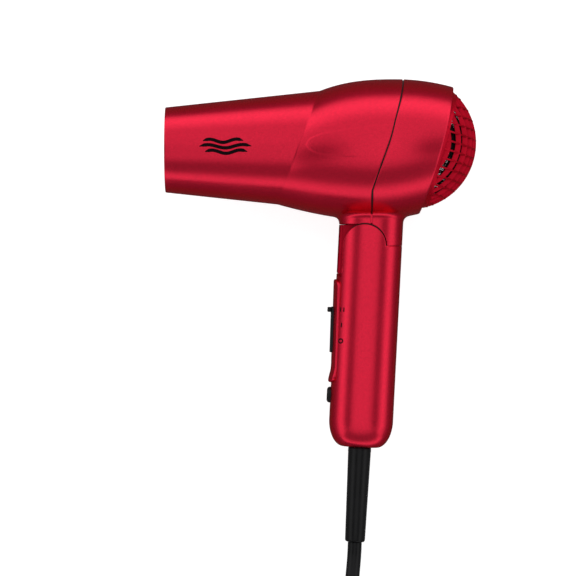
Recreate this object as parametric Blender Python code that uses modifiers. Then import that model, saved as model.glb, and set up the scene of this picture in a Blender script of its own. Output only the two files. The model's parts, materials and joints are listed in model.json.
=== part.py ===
"""A folding travel hair dryer, in metres, lying on its right side on the plane z = 0.

The design frame has its origin P on the fold axis: x runs to the intake end, y from the handle up to
the barrel, z out of the left side. The rest_pose empty tilts that frame about x until the barrel and
the end of the handle both touch the ground. The grip frame follows the lean of the handle.
"""

import math

import bmesh
import bpy
from mathutils import Matrix, Vector

# Barrel and nozzle, in the design frame
BARREL_Y = 0.0480
OUTLET_X = -0.0992
OUTLET_RADIUS = 0.0213
CREASE_X = -0.03305
CREASE_RADIUS = 0.02836
NOZZLE_SLOPE = (CREASE_RADIUS - OUTLET_RADIUS) / (CREASE_X - OUTLET_X)
CREASE_LEAN = 0.368
RIM_X = 0.0363
RIM_LEAN = 0.260
RIM_BULGE = 0.0029
TOP_PEAK = (0.0160, 0.08335)
TOP_FRONT = (0.0382, -0.00585, 2.6)
TOP_REAR = (0.0283, -0.00392, 2.0)
BOTTOM_PEAK = (0.0020, 0.0129)
BOTTOM_FRONT = (0.0451, 0.0078, 1.64)
BOTTOM_REAR = (0.0265, 0.0034, 2.0)
WALL = 0.0020
SEAM = ((0.0036, -0.0100), (0.0037, 0.0109), (0.0041, 0.0260), (0.0090, 0.0427), (0.0157, 0.0638),
        (0.0195, 0.0830), (0.0215, 0.1000))
SEAM_GAP = 0.0004

CLEAR = 0.0003
ROUND = 36
BODY_RINGS = 9

# Intake grille, about its own axis
GRILLE_X = 0.0368
GRILLE_RADIUS = 0.0300
GRILLE_HEIGHT = 0.0188
GRILLE_LEAN = math.radians(14.6)
GRILLE_WALL = 0.0014
GRILLE_PITCH = 0.0056
GRILLE_HOLE = 0.0045
GRILLE_COLLAR = 0.0030
GRILLE_BORDER = 0.0022

# Guard inside the outlet
GUARD_INSET = 0.0072
GUARD_DEPTH = 0.0022
GUARD_RIM = 0.0013
GUARD_RING = (0.0098, 0.0111)
GUARD_HUB = 0.0036
GUARD_BAR = 0.0012
GUARD_STEP = 0.0004

# Radial screws that hold the motor mount, through the right-hand wall
BACK_SCREW_ANGLE = math.radians(130)
BACK_SCREW_X = (-0.0020, 0.0170)
BACK_HEAD = 0.0352
BACK_SHANK = 0.0060

# Neck and handle: one stem, split at the fold joint
STEM_X = 0.0030
STEM_LEAN = math.radians(2.93)
STEM_WIDTH = 0.0320
STEM_DEPTH = 0.0276
STEM_POWER = 2.5
STEM_WALL = 0.0022
STEM_LENGTH = 0.1005
STEM_CORNER = 0.0134
STEM_CORNER_INSET = 0.00765
BASE_WALL = 0.0025
FLARE = ((0.0120, 0.0), (0.0130, 0.0005), (0.0140, 0.0014), (0.0149, 0.0029), (0.0205, 0.0034))

# Fold joint, about P
CHEEK_RADIUS = 0.01065
JOINT_GAP = 0.00035
NECK_EDGE_Y = 0.01085
CHEEK_FRONT_LOW = (-0.0111, -0.0125)
CHEEK_STEP_Y = -0.0143
CHEEK_INSIDE_Z = 0.0078
TONGUE_HALF = 0.0065
TONGUE_DISC = 0.0096
TONGUE_REACH = 0.0189
TONGUE_ROOT_X = -0.0080
SLOT_REACH = 0.0196
PIN_RADIUS = 0.0025
PIN_HALF = 0.0120
WASHER_RADIUS = 0.0065
WASHER_THICKNESS = 0.0007
ROOT_TOP = 0.0162

# Front of the handle, in the grip frame
BEZEL_TOP = -0.0170
BEZEL_BOTTOM = -0.0675
BEZEL_HALF = 0.0088
BEZEL_RISE = 0.0012
BEZEL_SEAT = 0.0010
BEZEL_CORNER = 0.0040
FRONT_REACH = (-0.03, -0.006)
PLATE_TOP = -0.0304
PLATE_BOTTOM = -0.0530
PLATE_HALF = 0.0046
PLATE_RISE = 0.0022
PLATE_CORNER = 0.0012
KNOB_Y = -0.03175
KNOB_TRAVEL = 0.0160
KNOB_HALF = (0.00125, 0.0037)
KNOB_RISE = 0.0042
KNOB_STEM = (0.0010, 0.0010)
SWITCH_LOW = (-0.0118, -0.0560, -0.0065)
SWITCH_HIGH = (-0.0050, -0.0260, 0.0065)
SWITCH_TAB = 0.0030
BUTTON_Y = -0.0740
BUTTON_RADIUS = 0.0040
BUTTON_RISE = 0.0021
BUTTON_TRAVEL = 0.0020
BUTTON_SEAT = 0.0012
BUTTON_FLANGE = 0.0012
BUTTON_STEM = (0.0015, 0.0102)
SCREWS = ((0.0060, -0.0280), (0.0060, -0.0560), (0.0072, -0.0780))
SCREW_RADIUS = 0.0015
SCREW_HEAD = (0.0027, 0.0128)
SCREW_SEAT = 0.0106
SCREW_TIP = 0.0086
BOSS_RADIUS = 0.0039
BOSS_END = 0.0110

# Motor, fan and heater, along the barrel
MOUNT_RADIUS = 0.0306
MOUNT_WALL = 0.0022
MOUNT_SPAN = (-0.0060, 0.0210)
SLEEVE_WALL = 0.0015
SLEEVE_END = 0.0040
VANES = 6
VANE_THICKNESS = 0.0014
MOTOR_RADIUS = 0.0115
MOTOR_SPAN = (-0.0200, 0.0060)
MOTOR_BORE_DEPTH = 0.0100
BELL_DEPTH = 0.0035
RECTIFIER_RADIUS = 0.0100
RECTIFIER_THICKNESS = 0.0014
SHAFT_RADIUS = 0.0010
FAN_SPAN = (0.0092, 0.0195)
FAN_HUB = 0.0090
FAN_BLADES = 9
FAN_TIP_GAP = 0.0008
HEATER_SPAN = (OUTLET_X + 0.0172, CREASE_X + 0.00305)
HEATER_HALF = 0.0170
BOARD_THICKNESS = 0.0008
COIL_RADIUS = 0.0156
COIL_WIRE = 0.0007
COIL_PITCH = 0.0080
COIL_START = HEATER_SPAN[0] + 0.0040
COIL_TURNS = int((HEATER_SPAN[1] - COIL_START) / COIL_PITCH)
NOTCH = (0.0024, 0.0026)
SHIELD_SPAN = (OUTLET_X + 0.0112, CREASE_X - 0.00095)
SHIELD_WALL = 0.0005
WIRE_RADIUS = 0.0009

# Cord and plug
RELIEF_RADII = (0.0057, 0.0050)
RELIEF_LENGTH = 0.0472
RELIEF_END = -STEM_LENGTH - CLEAR - RELIEF_LENGTH
RELIEF_NECK = 0.0046
RELIEF_FLANGE = (0.0058, 0.0020)
RELIEF_INSIDE = -STEM_LENGTH + BASE_WALL + CLEAR + RELIEF_FLANGE[1]
INNER_LEAD = (0.0033, 0.0129)
CLAMP_START = 0.0042
CLAMP_SIZE = (0.0120, 0.0040, 0.0110)
CORD_RADIUS = 0.0035
CORD_LIFT = 0.0005
COIL_LIFT = 0.0002
TIE_WIDTH = 0.0080
TIE_THICKNESS = 0.0012
TURN_RADIUS = 0.0420
TURN_STEP = 0.0072
COIL_CENTRE = (-0.0492, -0.0830)
PLUG_RELIEF = (0.0046, 0.0068, 0.0220)
PLUG_SIZE = (0.0300, 0.0440, 0.0200)
PLUG_CORNER = 0.0060
PLUG_EDGE = 0.0020
PLUG_BUTTON = (0.0100, 0.0070, 0.0034)
PLUG_BUTTON_RISE = 0.0014
PLUG_WELL = 0.0040
BLADE_SINK = 0.0040
BLADE_SPACING = 0.0127
BLADE = (0.0016, 0.0180, 0.0064)

FINISHES = {
    "red": ((0.58, 0.01, 0.03), 0.30, 0.85),
    "dark_red": ((0.30, 0.005, 0.015), 0.40, 0.60),
    "black": ((0.012, 0.012, 0.012), 0.45, 0.0),
    "rubber": ((0.015, 0.015, 0.015), 0.70, 0.0),
    "steel": ((0.60, 0.60, 0.62), 0.35, 1.0),
    "brass": ((0.70, 0.50, 0.20), 0.35, 1.0),
    "mica": ((0.75, 0.68, 0.52), 0.60, 0.0),
    "green": ((0.05, 0.25, 0.10), 0.60, 0.0),
    "grey": ((0.35, 0.36, 0.38), 0.55, 0.0),
}


# Scene, collections and materials


def clear_scene():
    for obj in list(bpy.data.objects):
        bpy.data.objects.remove(obj, do_unlink=True)


def new_collection(name):
    collection = bpy.data.collections.new(name)
    bpy.context.scene.collection.children.link(collection)
    return collection


def finish(name):
    """The Principled material of one of FINISHES, made once."""
    material = bpy.data.materials.get(name)
    if material:
        return material
    colour, roughness, metallic = FINISHES[name]
    material = bpy.data.materials.new(name)
    material.use_nodes = True
    shader = material.node_tree.nodes["Principled BSDF"]
    shader.inputs["Base Color"].default_value = (*colour, 1.0)
    shader.inputs["Roughness"].default_value = roughness
    shader.inputs["Metallic"].default_value = metallic
    return material


def empty(name, parent=None, location=(0, 0, 0), rotation=(0, 0, 0)):
    obj = bpy.data.objects.new(name, None)
    PARTS.objects.link(obj)
    obj.parent = parent
    obj.location = location
    obj.rotation_euler = rotation
    return obj


def part(name, data, look, parent, location=(0, 0, 0), rotation=(0, 0, 0)):
    """One sub-part of the dryer."""
    obj = bpy.data.objects.new(name, data)
    PARTS.objects.link(obj)
    obj.parent = parent
    obj.location = location
    obj.rotation_euler = rotation
    data.materials.clear()
    data.materials.append(finish(look))
    if isinstance(data, bpy.types.Mesh) and data.polygons:
        data.shade_smooth()
        data.set_sharp_from_angle(angle=math.radians(35))
    return obj


def tool(name, data, parent, location=(0, 0, 0), rotation=(0, 0, 0)):
    """A cutter, or a shape that a part is joined with."""
    obj = bpy.data.objects.new(name, data)
    TOOLS.objects.link(obj)
    obj.parent = parent
    obj.location = location
    obj.rotation_euler = rotation
    obj.hide_render = True
    obj.display_type = "WIRE"
    return obj


def boolean(obj, operation, other):
    modifier = obj.modifiers.new(f"{operation.lower()}_{other.name}", "BOOLEAN")
    modifier.operation = operation
    modifier.solver = "EXACT"
    modifier.object = other


def cut(obj, *others):
    for other in others:
        boolean(obj, "DIFFERENCE", other)


def keep(obj, other):
    boolean(obj, "INTERSECT", other)


def join(obj, *others):
    for other in others:
        boolean(obj, "UNION", other)


# Shapes


def mesh_of(name, bm):
    bmesh.ops.recalc_face_normals(bm, faces=bm.faces)
    mesh = bpy.data.meshes.new(name)
    bm.to_mesh(mesh)
    bm.free()
    return mesh


def loft(name, rings, matrix=Matrix()):
    """A closed solid through rings of as many points each, capped at both ends."""
    bm = bmesh.new()
    loops = [[bm.verts.new(matrix @ Vector(point)) for point in ring] for ring in rings]
    for near, far in zip(loops, loops[1:]):
        for i in range(len(near)):
            j = (i + 1) % len(near)
            bm.faces.new((near[i], near[j], far[j], far[i]))
    bm.faces.new(loops[0][::-1])
    bm.faces.new(loops[-1])
    return mesh_of(name, bm)


def prism(name, outline, low, high, axis="z"):
    """A flat outline pushed from low to high along an axis: (x, y) along z, or (y, z) along x."""
    bm = bmesh.new()
    place = {"z": lambda a, b, h: (a, b, h), "x": lambda a, b, h: (h, a, b)}[axis]
    face = bm.faces.new([bm.verts.new(place(a, b, low)) for a, b in outline])
    grown = bmesh.ops.extrude_face_region(bm, geom=[face])["geom"]
    moved = [item for item in grown if isinstance(item, bmesh.types.BMVert)]
    bmesh.ops.translate(bm, verts=moved, vec=place(0, 0, high - low))
    return mesh_of(name, bm)


def boxes(name, spans):
    """Boxes that stand clear of each other, each from its low corner to its high corner."""
    bm = bmesh.new()
    for low, high in spans:
        low, high = Vector(low), Vector(high)
        matrix = Matrix.Translation((low + high) / 2) @ Matrix.Diagonal((*(high - low), 1))
        bmesh.ops.create_cube(bm, size=1, matrix=matrix)
    return mesh_of(name, bm)


def rods(name, spans, segments=24, along="Z"):
    """Round rods (centre, radius, length) along one axis, clear of each other."""
    quarter = math.pi / 2
    way = {"X": Matrix.Rotation(quarter, 4, "Y"), "Y": Matrix.Rotation(quarter, 4, "X"), "Z": Matrix()}
    bm = bmesh.new()
    for centre, radius, length in spans:
        bmesh.ops.create_cone(bm, cap_ends=True, segments=segments, radius1=radius, radius2=radius,
                              depth=length, matrix=Matrix.Translation(centre) @ way[along])
    return mesh_of(name, bm)


def turned(name, profile, closed=False):
    """The profile's points (radius, height) as a mesh of edges, for turn()."""
    count = len(profile)
    edges = [(i, i + 1) for i in range(count - 1)]
    if closed:
        edges.append((count - 1, 0))
    mesh = bpy.data.meshes.new(name)
    mesh.from_pydata([(radius, 0, height) for radius, height in profile], edges, [])
    return mesh


def turn(obj, steps=32):
    """Turns a profile about the object's own z axis."""
    screw = obj.modifiers.new("turn", "SCREW")
    screw.steps = steps
    screw.render_steps = steps
    screw.use_merge_vertices = True
    screw.merge_threshold = 0.00001
    screw.use_smooth_shade = True
    return obj


def tube_profile(inner, outer, low, high):
    """A closed rectangle whose outer side runs down, for turned()."""
    return [(outer, high), (outer, low), (inner, low), (inner, high)]


def wire(name, points, radius, sides=2):
    """A round wire through points, as a curve with filled caps."""
    curve = bpy.data.curves.new(name, "CURVE")
    curve.dimensions = "3D"
    curve.bevel_depth = radius
    curve.bevel_resolution = sides
    curve.use_fill_caps = True
    spline = curve.splines.new("POLY")
    spline.points.add(len(points) - 1)
    for point, place in zip(spline.points, points):
        point.co = (*place, 1.0)
    return curve


def smooth_path(points, per_span):
    """Points along a smooth curve through the given ones (Catmull-Rom)."""
    points = [Vector(p) for p in points]
    padded = [2 * points[0] - points[1], *points, 2 * points[-1] - points[-2]]
    path = []
    for a, b, c, d in zip(padded, padded[1:], padded[2:], padded[3:]):
        for step in range(per_span):
            t = step / per_span
            path.append(0.5 * (2 * b + (c - a) * t + (2 * a - 5 * b + 4 * c - d) * t ** 2
                               + (3 * b - a - 3 * c + d) * t ** 3))
    return [*path, points[-1]]


def arc(radius, start, end, count):
    """Points on a circle about P, from one angle in degrees to another."""
    angles = [math.radians(start + (end - start) * i / count) for i in range(count + 1)]
    return [(radius * math.cos(a), radius * math.sin(a)) for a in angles]


def rounded_box(low, high, corner, count=4):
    """A rectangle's outline with round corners, anticlockwise."""
    right, left = high[0], low[0]
    centres = ((right, high[1], 0), (left, high[1], 90), (left, low[1], 180), (right, low[1], 270))
    outline = []
    for x, y, start in centres:
        x += corner if x == low[0] else -corner
        y += corner if y == low[1] else -corner
        outline += [(x + dx, y + dy) for dx, dy in arc(corner, start, start + 90, count)]
    return outline


# The barrel's surface


def bow(x, peak, front, rear):
    """Height at x of an outline that falls off on both sides of its peak, as a power of the distance."""
    reach, change, power = front if x < peak[0] else rear
    return peak[1] + change * (abs(x - peak[0]) / reach) ** power


def nozzle_radius(x):
    return OUTLET_RADIUS + NOZZLE_SLOPE * (x - OUTLET_X)


def ring_angles():
    return [2 * math.pi * i / ROUND for i in range(ROUND)]


def nozzle_ring(x, lean, grow):
    """Where a plane through (x, BARREL_Y), leaning back by lean, meets the nozzle's cone."""
    points = []
    for angle in ring_angles():
        radius = nozzle_radius(x) / (1 - NOZZLE_SLOPE * lean * math.sin(angle)) + grow
        rise = radius * math.sin(angle)
        points.append((x + lean * rise, BARREL_Y + rise, radius * math.cos(angle)))
    return points


def body_ring(share, grow):
    """The body's section at a share of the way from the crease to the rim: a circle sheared along x."""
    x = CREASE_X + (RIM_X - CREASE_X) * share
    lean = CREASE_LEAN + (RIM_LEAN - CREASE_LEAN) * share
    top = bottom = BARREL_Y
    for _ in range(8):
        top = bow(x + lean * (top - BARREL_Y), TOP_PEAK, TOP_FRONT, TOP_REAR)
        bottom = bow(x + lean * (bottom - BARREL_Y), BOTTOM_PEAK, BOTTOM_FRONT, BOTTOM_REAR)
    centre, radius = (top + bottom) / 2, (top - bottom) / 2
    across = radius * (1 + share * (math.hypot(1, lean) - 1))
    points = []
    for angle in ring_angles():
        y = centre + (radius + grow) * math.sin(angle)
        bulge = RIM_BULGE * share ** 2 * math.cos(angle) ** 2
        points.append((x + lean * (y - BARREL_Y) + bulge, y, (across + grow) * math.cos(angle)))
    return points


def barrel_rings(grow, overrun):
    """Rings from the outlet to the rim, moved out by grow and lengthened by overrun at both ends."""
    rings = [nozzle_ring(OUTLET_X - overrun, 0, grow), nozzle_ring(CREASE_X, CREASE_LEAN, grow)]
    rings += [body_ring(step / BODY_RINGS, grow) for step in range(1, BODY_RINGS + 1)]
    if overrun:
        rings.append([(x + overrun, y, z) for x, y, z in rings[-1]])
    return rings


def seam_side(sign):
    """The outline of everything in front of the seam (-1) or behind it (+1)."""
    line = [(x + sign * SEAM_GAP / 2, y) for x, y, _ in smooth_path([(x, y, 0) for x, y in SEAM], 6)]
    return [*line, (sign * 0.12, SEAM[-1][1]), (sign * 0.12, SEAM[0][1])]


# The stem's surface

GRIP = Matrix.Translation((STEM_X, 0, 0)) @ Matrix.Rotation(-STEM_LEAN, 4, "Z")


def stem_ring(height, grow_x, grow_z, count=28):
    points = []
    for i in range(count):
        angle = 2 * math.pi * i / count
        c, s = math.cos(angle), math.sin(angle)
        x = (STEM_WIDTH / 2 + grow_x) * math.copysign(abs(c) ** (2 / STEM_POWER), c)
        z = (STEM_DEPTH / 2 + grow_z) * math.copysign(abs(s) ** (2 / STEM_POWER), s)
        points.append((x, height, z))
    return points


def stem_end(length, grow):
    """Rings of the rounded lower end, which finishes at the given length."""
    rings = []
    for step in range(6):
        t = math.sin(math.pi / 2 * step / 5)
        inset = STEM_CORNER_INSET * (1 - math.sqrt(1 - t * t))
        scale = STEM_DEPTH / STEM_WIDTH
        rings.append(stem_ring(-length + STEM_CORNER * (1 - t), grow - inset, grow - inset * scale))
    return rings


def handle_form(name, top, grow, end_grow=0.0):
    """The handle from top down to its rounded end, its surface moved out by grow."""
    rings = [stem_ring(top, grow, grow), *stem_end(STEM_LENGTH + end_grow, grow)]
    return loft(name, rings, GRIP)


def stem_piece(name, low, high, grow):
    return loft(name, [stem_ring(low, grow, grow), stem_ring(high, grow, grow)], GRIP)


def neck_form(name, grow):
    rings = [stem_ring(-0.003, grow, grow)]
    rings += [stem_ring(height, grow + out, grow + out) for height, out in FLARE]
    return loft(name, rings, GRIP)


# Head


def make_housings(head):
    barrel = loft("barrel_form", barrel_rings(0, 0))
    inside = tool("barrel_inside", loft("barrel_inside", barrel_rings(-WALL, 0.005)), head)
    neck = tool("neck_form", neck_form("neck_form", 0), head)
    neck_inside = tool("neck_inside", neck_form("neck_inside", -STEM_WALL), head)
    below = tool("below_neck", prism("below_neck", below_neck_outline(), -0.04, 0.04), head)
    outside = BACK_HEAD + 0.0050
    hole_rods = back_screw_rods("holes", 0.0016, BACK_HEAD - BACK_SHANK - 0.0002, outside)
    holes = tool("housing_screw_holes", hole_rods, head)
    sinks = tool("housing_screw_sinks", back_screw_rods("sinks", 0.0031, BACK_HEAD - 0.0015, outside), head)
    housings = []
    for name, sign in (("front_housing", -1), ("rear_housing", 1)):
        side = tool(f"{name}_side", prism(f"{name}_side", seam_side(sign), -0.06, 0.06), head)
        housing = part(name, barrel.copy(), "red", head)
        join(housing, neck)
        cut(housing, inside, neck_inside, below, holes, sinks)
        keep(housing, side)
        housings.append(housing)
    return housings


def below_neck_outline():
    """Everything under the neck's lower edge: level, round the cheek, then level behind it."""
    reach = CHEEK_RADIUS + JOINT_GAP
    start = math.degrees(math.asin(min(1, NECK_EDGE_Y / reach)))
    around = arc(reach, 180 - start, 0, 14)
    return [(-0.04, NECK_EDGE_Y), *around, (0.04, 0), (0.04, -0.04), (-0.04, -0.04)]


def back_screw_places():
    """The two radial screws through the right-hand wall: their matrices, z pointing outwards."""
    turn_out = Matrix.Rotation(-BACK_SCREW_ANGLE, 4, "X")
    return [Matrix.Translation((x, BARREL_Y, 0)) @ turn_out for x in BACK_SCREW_X]


def back_screw_rods(name, radius, low, high):
    bm = bmesh.new()
    for place in back_screw_places():
        matrix = place @ Matrix.Translation((0, 0, (low + high) / 2))
        bmesh.ops.create_cone(bm, cap_ends=True, segments=16, radius1=radius, radius2=radius,
                              depth=high - low, matrix=matrix)
    return mesh_of(name, bm)


def make_housing_screws(head):
    seat, tip = BACK_HEAD - 0.0014, BACK_HEAD - BACK_SHANK
    profile = [(0, BACK_HEAD), (0.0024, BACK_HEAD - 0.0002), (0.0027, seat + 0.0002), (0.0013, seat),
               (0.0013, tip + 0.0002), (0, tip)]
    for number, place in enumerate(back_screw_places(), 1):
        screw = part(f"housing_screw_{number}", turned("housing_screw", profile), "steel", head,
                     place.translation, place.to_euler())
        turn(screw, 12)


def make_rear_grille(head):
    """A spherical cap pierced by a square pattern, with a collar that stands inside the rim."""
    sphere = (GRILLE_RADIUS ** 2 + GRILLE_HEIGHT ** 2) / (2 * GRILLE_HEIGHT)
    centre = GRILLE_HEIGHT - sphere
    outer = dome_profile(sphere, centre)
    inner = dome_profile(sphere - GRILLE_WALL, centre)
    profile = [*outer, (outer[-1][0], -GRILLE_COLLAR), (inner[-1][0], -GRILLE_COLLAR), *inner[::-1]]
    rotation = (0, math.pi / 2, 0)
    frame = empty("grille_frame", head, (GRILLE_X, BARREL_Y, 0), (0, 0, -GRILLE_LEAN))
    grille = turn(part("rear_grille", turned("rear_grille", profile), "red", frame, rotation=rotation), 28)
    cut(grille, tool("grille_holes", boxes("grille_holes", grille_holes(sphere)), frame))


def dome_profile(sphere, centre):
    """From the top of the cap down to its base plane."""
    half = math.acos(max(-1, -centre / sphere))
    return [(sphere * math.sin(half * i / 6), centre + sphere * math.cos(half * i / 6)) for i in range(7)]


def grille_holes(sphere):
    limit = GRILLE_RADIUS - GRILLE_BORDER
    reach = int(limit / GRILLE_PITCH)
    half = GRILLE_HOLE / 2
    spans = []
    for i in range(-reach, reach + 1):
        for j in range(-reach, reach + 1):
            y, z = i * GRILLE_PITCH, j * GRILLE_PITCH
            if math.hypot(abs(y) + half, abs(z) + half) < limit:
                spans.append(((0.0002, y - half, z - half), (sphere, y + half, z + half)))
    return spans


def make_outlet_grille(head):
    """Rings and spokes of the guard inside the outlet."""
    x = OUTLET_X + GUARD_INSET
    rim = nozzle_radius(x) - WALL - CLEAR
    spots = empty("outlet_frame", head, (x, BARREL_Y, 0), (0, math.pi / 2, 0))
    outer = turned("outlet_rim", tube_profile(rim - GUARD_RIM, rim, 0, GUARD_DEPTH), True)
    grille = turn(part("outlet_grille", outer, "black", spots), 24)
    low, high = GUARD_STEP, GUARD_DEPTH - GUARD_STEP
    inner = turned("outlet_ring", tube_profile(*GUARD_RING, low, high), True)
    ring = turn(tool("outlet_ring", inner, spots), 24)
    middle = (low + high) / 2
    hub = tool("outlet_hub", rods("outlet_hub", [((0, 0, middle), GUARD_HUB, high - low - 0.0001)]), spots)
    join(grille, ring, hub)
    reach = rim - GUARD_RIM / 2
    for index in range(3):
        corners = ((-reach, -GUARD_BAR / 2, low + 0.0001), (reach, GUARD_BAR / 2, high - 0.0001))
        angle = math.pi / 3 * index + math.pi / 6
        join(grille, tool(f"outlet_bar_{index}", boxes("bar", [corners]), spots, rotation=(0, 0, angle)))


def make_heater(head):
    near, far = SHIELD_SPAN
    shield = loft("shield_form", [nozzle_ring(x, 0, -WALL - CLEAR) for x in SHIELD_SPAN])
    shrink = -WALL - CLEAR - SHIELD_WALL
    inside = loft("shield_inside", [nozzle_ring(x, 0, shrink) for x in (near - 0.001, far + 0.001)])
    cut(part("heat_shield", shield, "mica", head), tool("shield_inside", inside, head))
    spot = empty("heater_frame", head, (0, BARREL_Y, 0))
    part("heater_board_upright", upright_board(), "mica", spot)
    part("heater_board_level", level_board(), "mica", spot, rotation=(math.pi / 2, 0, 0))
    part("heating_coil", wire("heating_coil", coil_points(), COIL_WIRE), "steel", spot)
    make_heater_guards(spot)


def upright_board():
    """A mica board notched for the coil, its slot open at the rear for the level board."""
    front, back = HEATER_SPAN
    middle = (front + back) / 2
    half = BOARD_THICKNESS / 2 + CLEAR
    slot = [(back, -half), (middle, -half), (middle, half), (back, half)]
    outline = [*notched_edge(1, -1), *slot, *notched_edge(3, 1)[::-1]]
    return prism("board_upright", outline, -BOARD_THICKNESS / 2, BOARD_THICKNESS / 2)


def level_board():
    """The board that crosses it, its slot open at the front."""
    front, back = HEATER_SPAN
    middle = (front + back) / 2
    half = BOARD_THICKNESS / 2 + CLEAR
    slot = [(front, half), (middle, half), (middle, -half), (front, -half)]
    outline = [*notched_edge(2, -1), *notched_edge(0, 1)[::-1], *slot]
    return prism("board_level", outline, -BOARD_THICKNESS / 2, BOARD_THICKNESS / 2)


def notched_edge(quarter, side):
    """The long edge from front to back, with a notch wherever the coil crosses it."""
    front, back = HEATER_SPAN
    width, depth = NOTCH
    points = [(front, side * HEATER_HALF)]
    for turn_number in range(COIL_TURNS + 1):
        x = COIL_START + (turn_number + quarter / 4) * COIL_PITCH
        if x - width < front or x + width > back:
            continue
        edge, floor = side * HEATER_HALF, side * (HEATER_HALF - depth)
        points += [(x - width / 2, edge), (x - width / 2, floor), (x + width / 2, floor),
                   (x + width / 2, edge)]
    return [*points, (back, side * HEATER_HALF)]


def coil_points():
    """A helix of round wire, one corner in each notch."""
    count = 12
    points = []
    for i in range(COIL_TURNS * count + 1):
        angle = 2 * math.pi * i / count
        x = COIL_START + COIL_PITCH * i / count
        points.append((x, -COIL_RADIUS * math.sin(angle), COIL_RADIUS * math.cos(angle)))
    return points


def make_heater_guards(spot):
    z = BOARD_THICKNESS / 2 + CLEAR
    back = HEATER_SPAN[1]
    corners = ((back - 0.0100, 0.0030, z), (back - 0.0030, 0.0110, z + 0.0035))
    part("thermostat", boxes("thermostat", [corners]), "steel", spot)
    fuse_radius = 0.0016
    place = (back - 0.0080, z + fuse_radius, -0.0065)
    fuse = rods("thermal_fuse", [(place, fuse_radius, 0.0090)], 16, "X")
    part("thermal_fuse", fuse, "grey", spot)


def make_motor(head):
    spot = empty("motor_frame", head, (0, BARREL_Y, 0), (0, math.pi / 2, 0))
    low, high = MOTOR_SPAN
    bore = SHAFT_RADIUS + CLEAR
    floor = high - MOTOR_BORE_DEPTH
    can = [(bore, high), (MOTOR_RADIUS - 0.001, high), (MOTOR_RADIUS, high - 0.001), (MOTOR_RADIUS, low),
           (0, low), (0, floor), (bore, floor)]
    turn(part("motor_can", turned("motor_can", can, True), "steel", spot))
    bell_radius = MOTOR_RADIUS - 0.0004
    top, bottom = low - CLEAR, low - CLEAR - BELL_DEPTH
    bell = [(0, top), (bell_radius, top), (bell_radius, bottom + 0.0008), (0.0035, bottom), (0, bottom)]
    turn(part("motor_end_bell", turned("motor_end_bell", bell), "black", spot))
    make_rectifier(spot, bottom - CLEAR)
    make_motor_mount(spot)


def make_rectifier(spot, top):
    disc = ((0, 0, top - RECTIFIER_THICKNESS / 2), RECTIFIER_RADIUS, RECTIFIER_THICKNESS)
    rectifier = part("rectifier_board", rods("rectifier_board", [disc], 24), "green", spot)
    under = top - RECTIFIER_THICKNESS
    diodes = [((x, y - 0.0016, under - 0.0022), (x + 0.0022, y + 0.0016, under + 0.0004))
              for x in (-0.0056, 0.0034) for y in (-0.0036, 0.0036)]
    join(rectifier, tool("diodes", boxes("diodes", diodes), spot))


def make_motor_mount(spot):
    low, high = MOUNT_SPAN
    inner = MOUNT_RADIUS - MOUNT_WALL
    sleeve = MOTOR_RADIUS + CLEAR
    ring = turned("mount_ring", tube_profile(inner, MOUNT_RADIUS, low, high), True)
    mount = turn(part("motor_mount", ring, "black", spot), 28)
    tube = tube_profile(sleeve, sleeve + SLEEVE_WALL, low, SLEEVE_END)
    join(mount, turn(tool("mount_sleeve", turned("mount_sleeve", tube, True), spot)))
    corners = ((sleeve + SLEEVE_WALL / 2, -VANE_THICKNESS / 2, low + 0.001),
               (inner + MOUNT_WALL / 2, VANE_THICKNESS / 2, SLEEVE_END - 0.001))
    for index in range(VANES):
        angle = 2 * math.pi * index / VANES + 0.3
        join(mount, tool(f"vane_{index}", boxes("vane", [corners]), spot, rotation=(0, 0, angle)))
    hole_rods = back_screw_rods("mount_holes", 0.0016, inner - 0.0030, MOUNT_RADIUS + 0.0024)
    holes = tool("mount_screw_holes", hole_rods, spot.parent)
    cut(mount, holes)


def make_fan(head):
    spot = empty("fan_axis", head, (0, BARREL_Y, 0), (0, math.pi / 2, 0))
    low, high = FAN_SPAN
    bore = SHAFT_RADIUS + CLEAR
    hub = [(bore, high), (FAN_HUB - 0.003, high), (FAN_HUB, high - 0.003), (FAN_HUB, low), (bore, low)]
    fan = turn(part("fan", turned("fan_hub", hub, True), "grey", spot))
    tip = MOUNT_RADIUS - MOUNT_WALL - FAN_TIP_GAP
    for index in range(FAN_BLADES):
        angle = 2 * math.pi * index / FAN_BLADES
        join(fan, tool(f"fan_blade_{index}", fan_blade(tip), spot, rotation=(0, 0, angle)))
    start = MOTOR_SPAN[1] - MOTOR_BORE_DEPTH + 0.0010
    end = high + 0.0005
    shaft = ((0, 0, (start + end) / 2), SHAFT_RADIUS, end - start)
    part("motor_shaft", rods("motor_shaft", [shaft], 12), "steel", spot)


def fan_blade(tip):
    """A thin blade from the hub to the tip, its pitch easing outwards."""
    middle = (FAN_SPAN[0] + FAN_SPAN[1] - 0.002) / 2
    rings = []
    for share in (0.0, 0.5, 1.0):
        radius = FAN_HUB - 0.0012 + (tip - FAN_HUB + 0.0012) * share
        pitch = math.radians(52 - 20 * share)
        half = 0.0048 - 0.0003 * share
        along = (half * math.cos(pitch), half * math.sin(pitch))
        thick = (0.0005 * math.sin(pitch), -0.0005 * math.cos(pitch))
        corners = ((1, 1), (-1, 1), (-1, -1), (1, -1))
        drop = radius - math.sqrt(max(radius ** 2 - along[0] ** 2, 0)) if share == 1 else 0
        rings.append([(radius - drop, a * along[0] + b * thick[0], middle + a * along[1] + b * thick[1])
                      for a, b in corners])
    return loft("fan_blade", rings)


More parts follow.
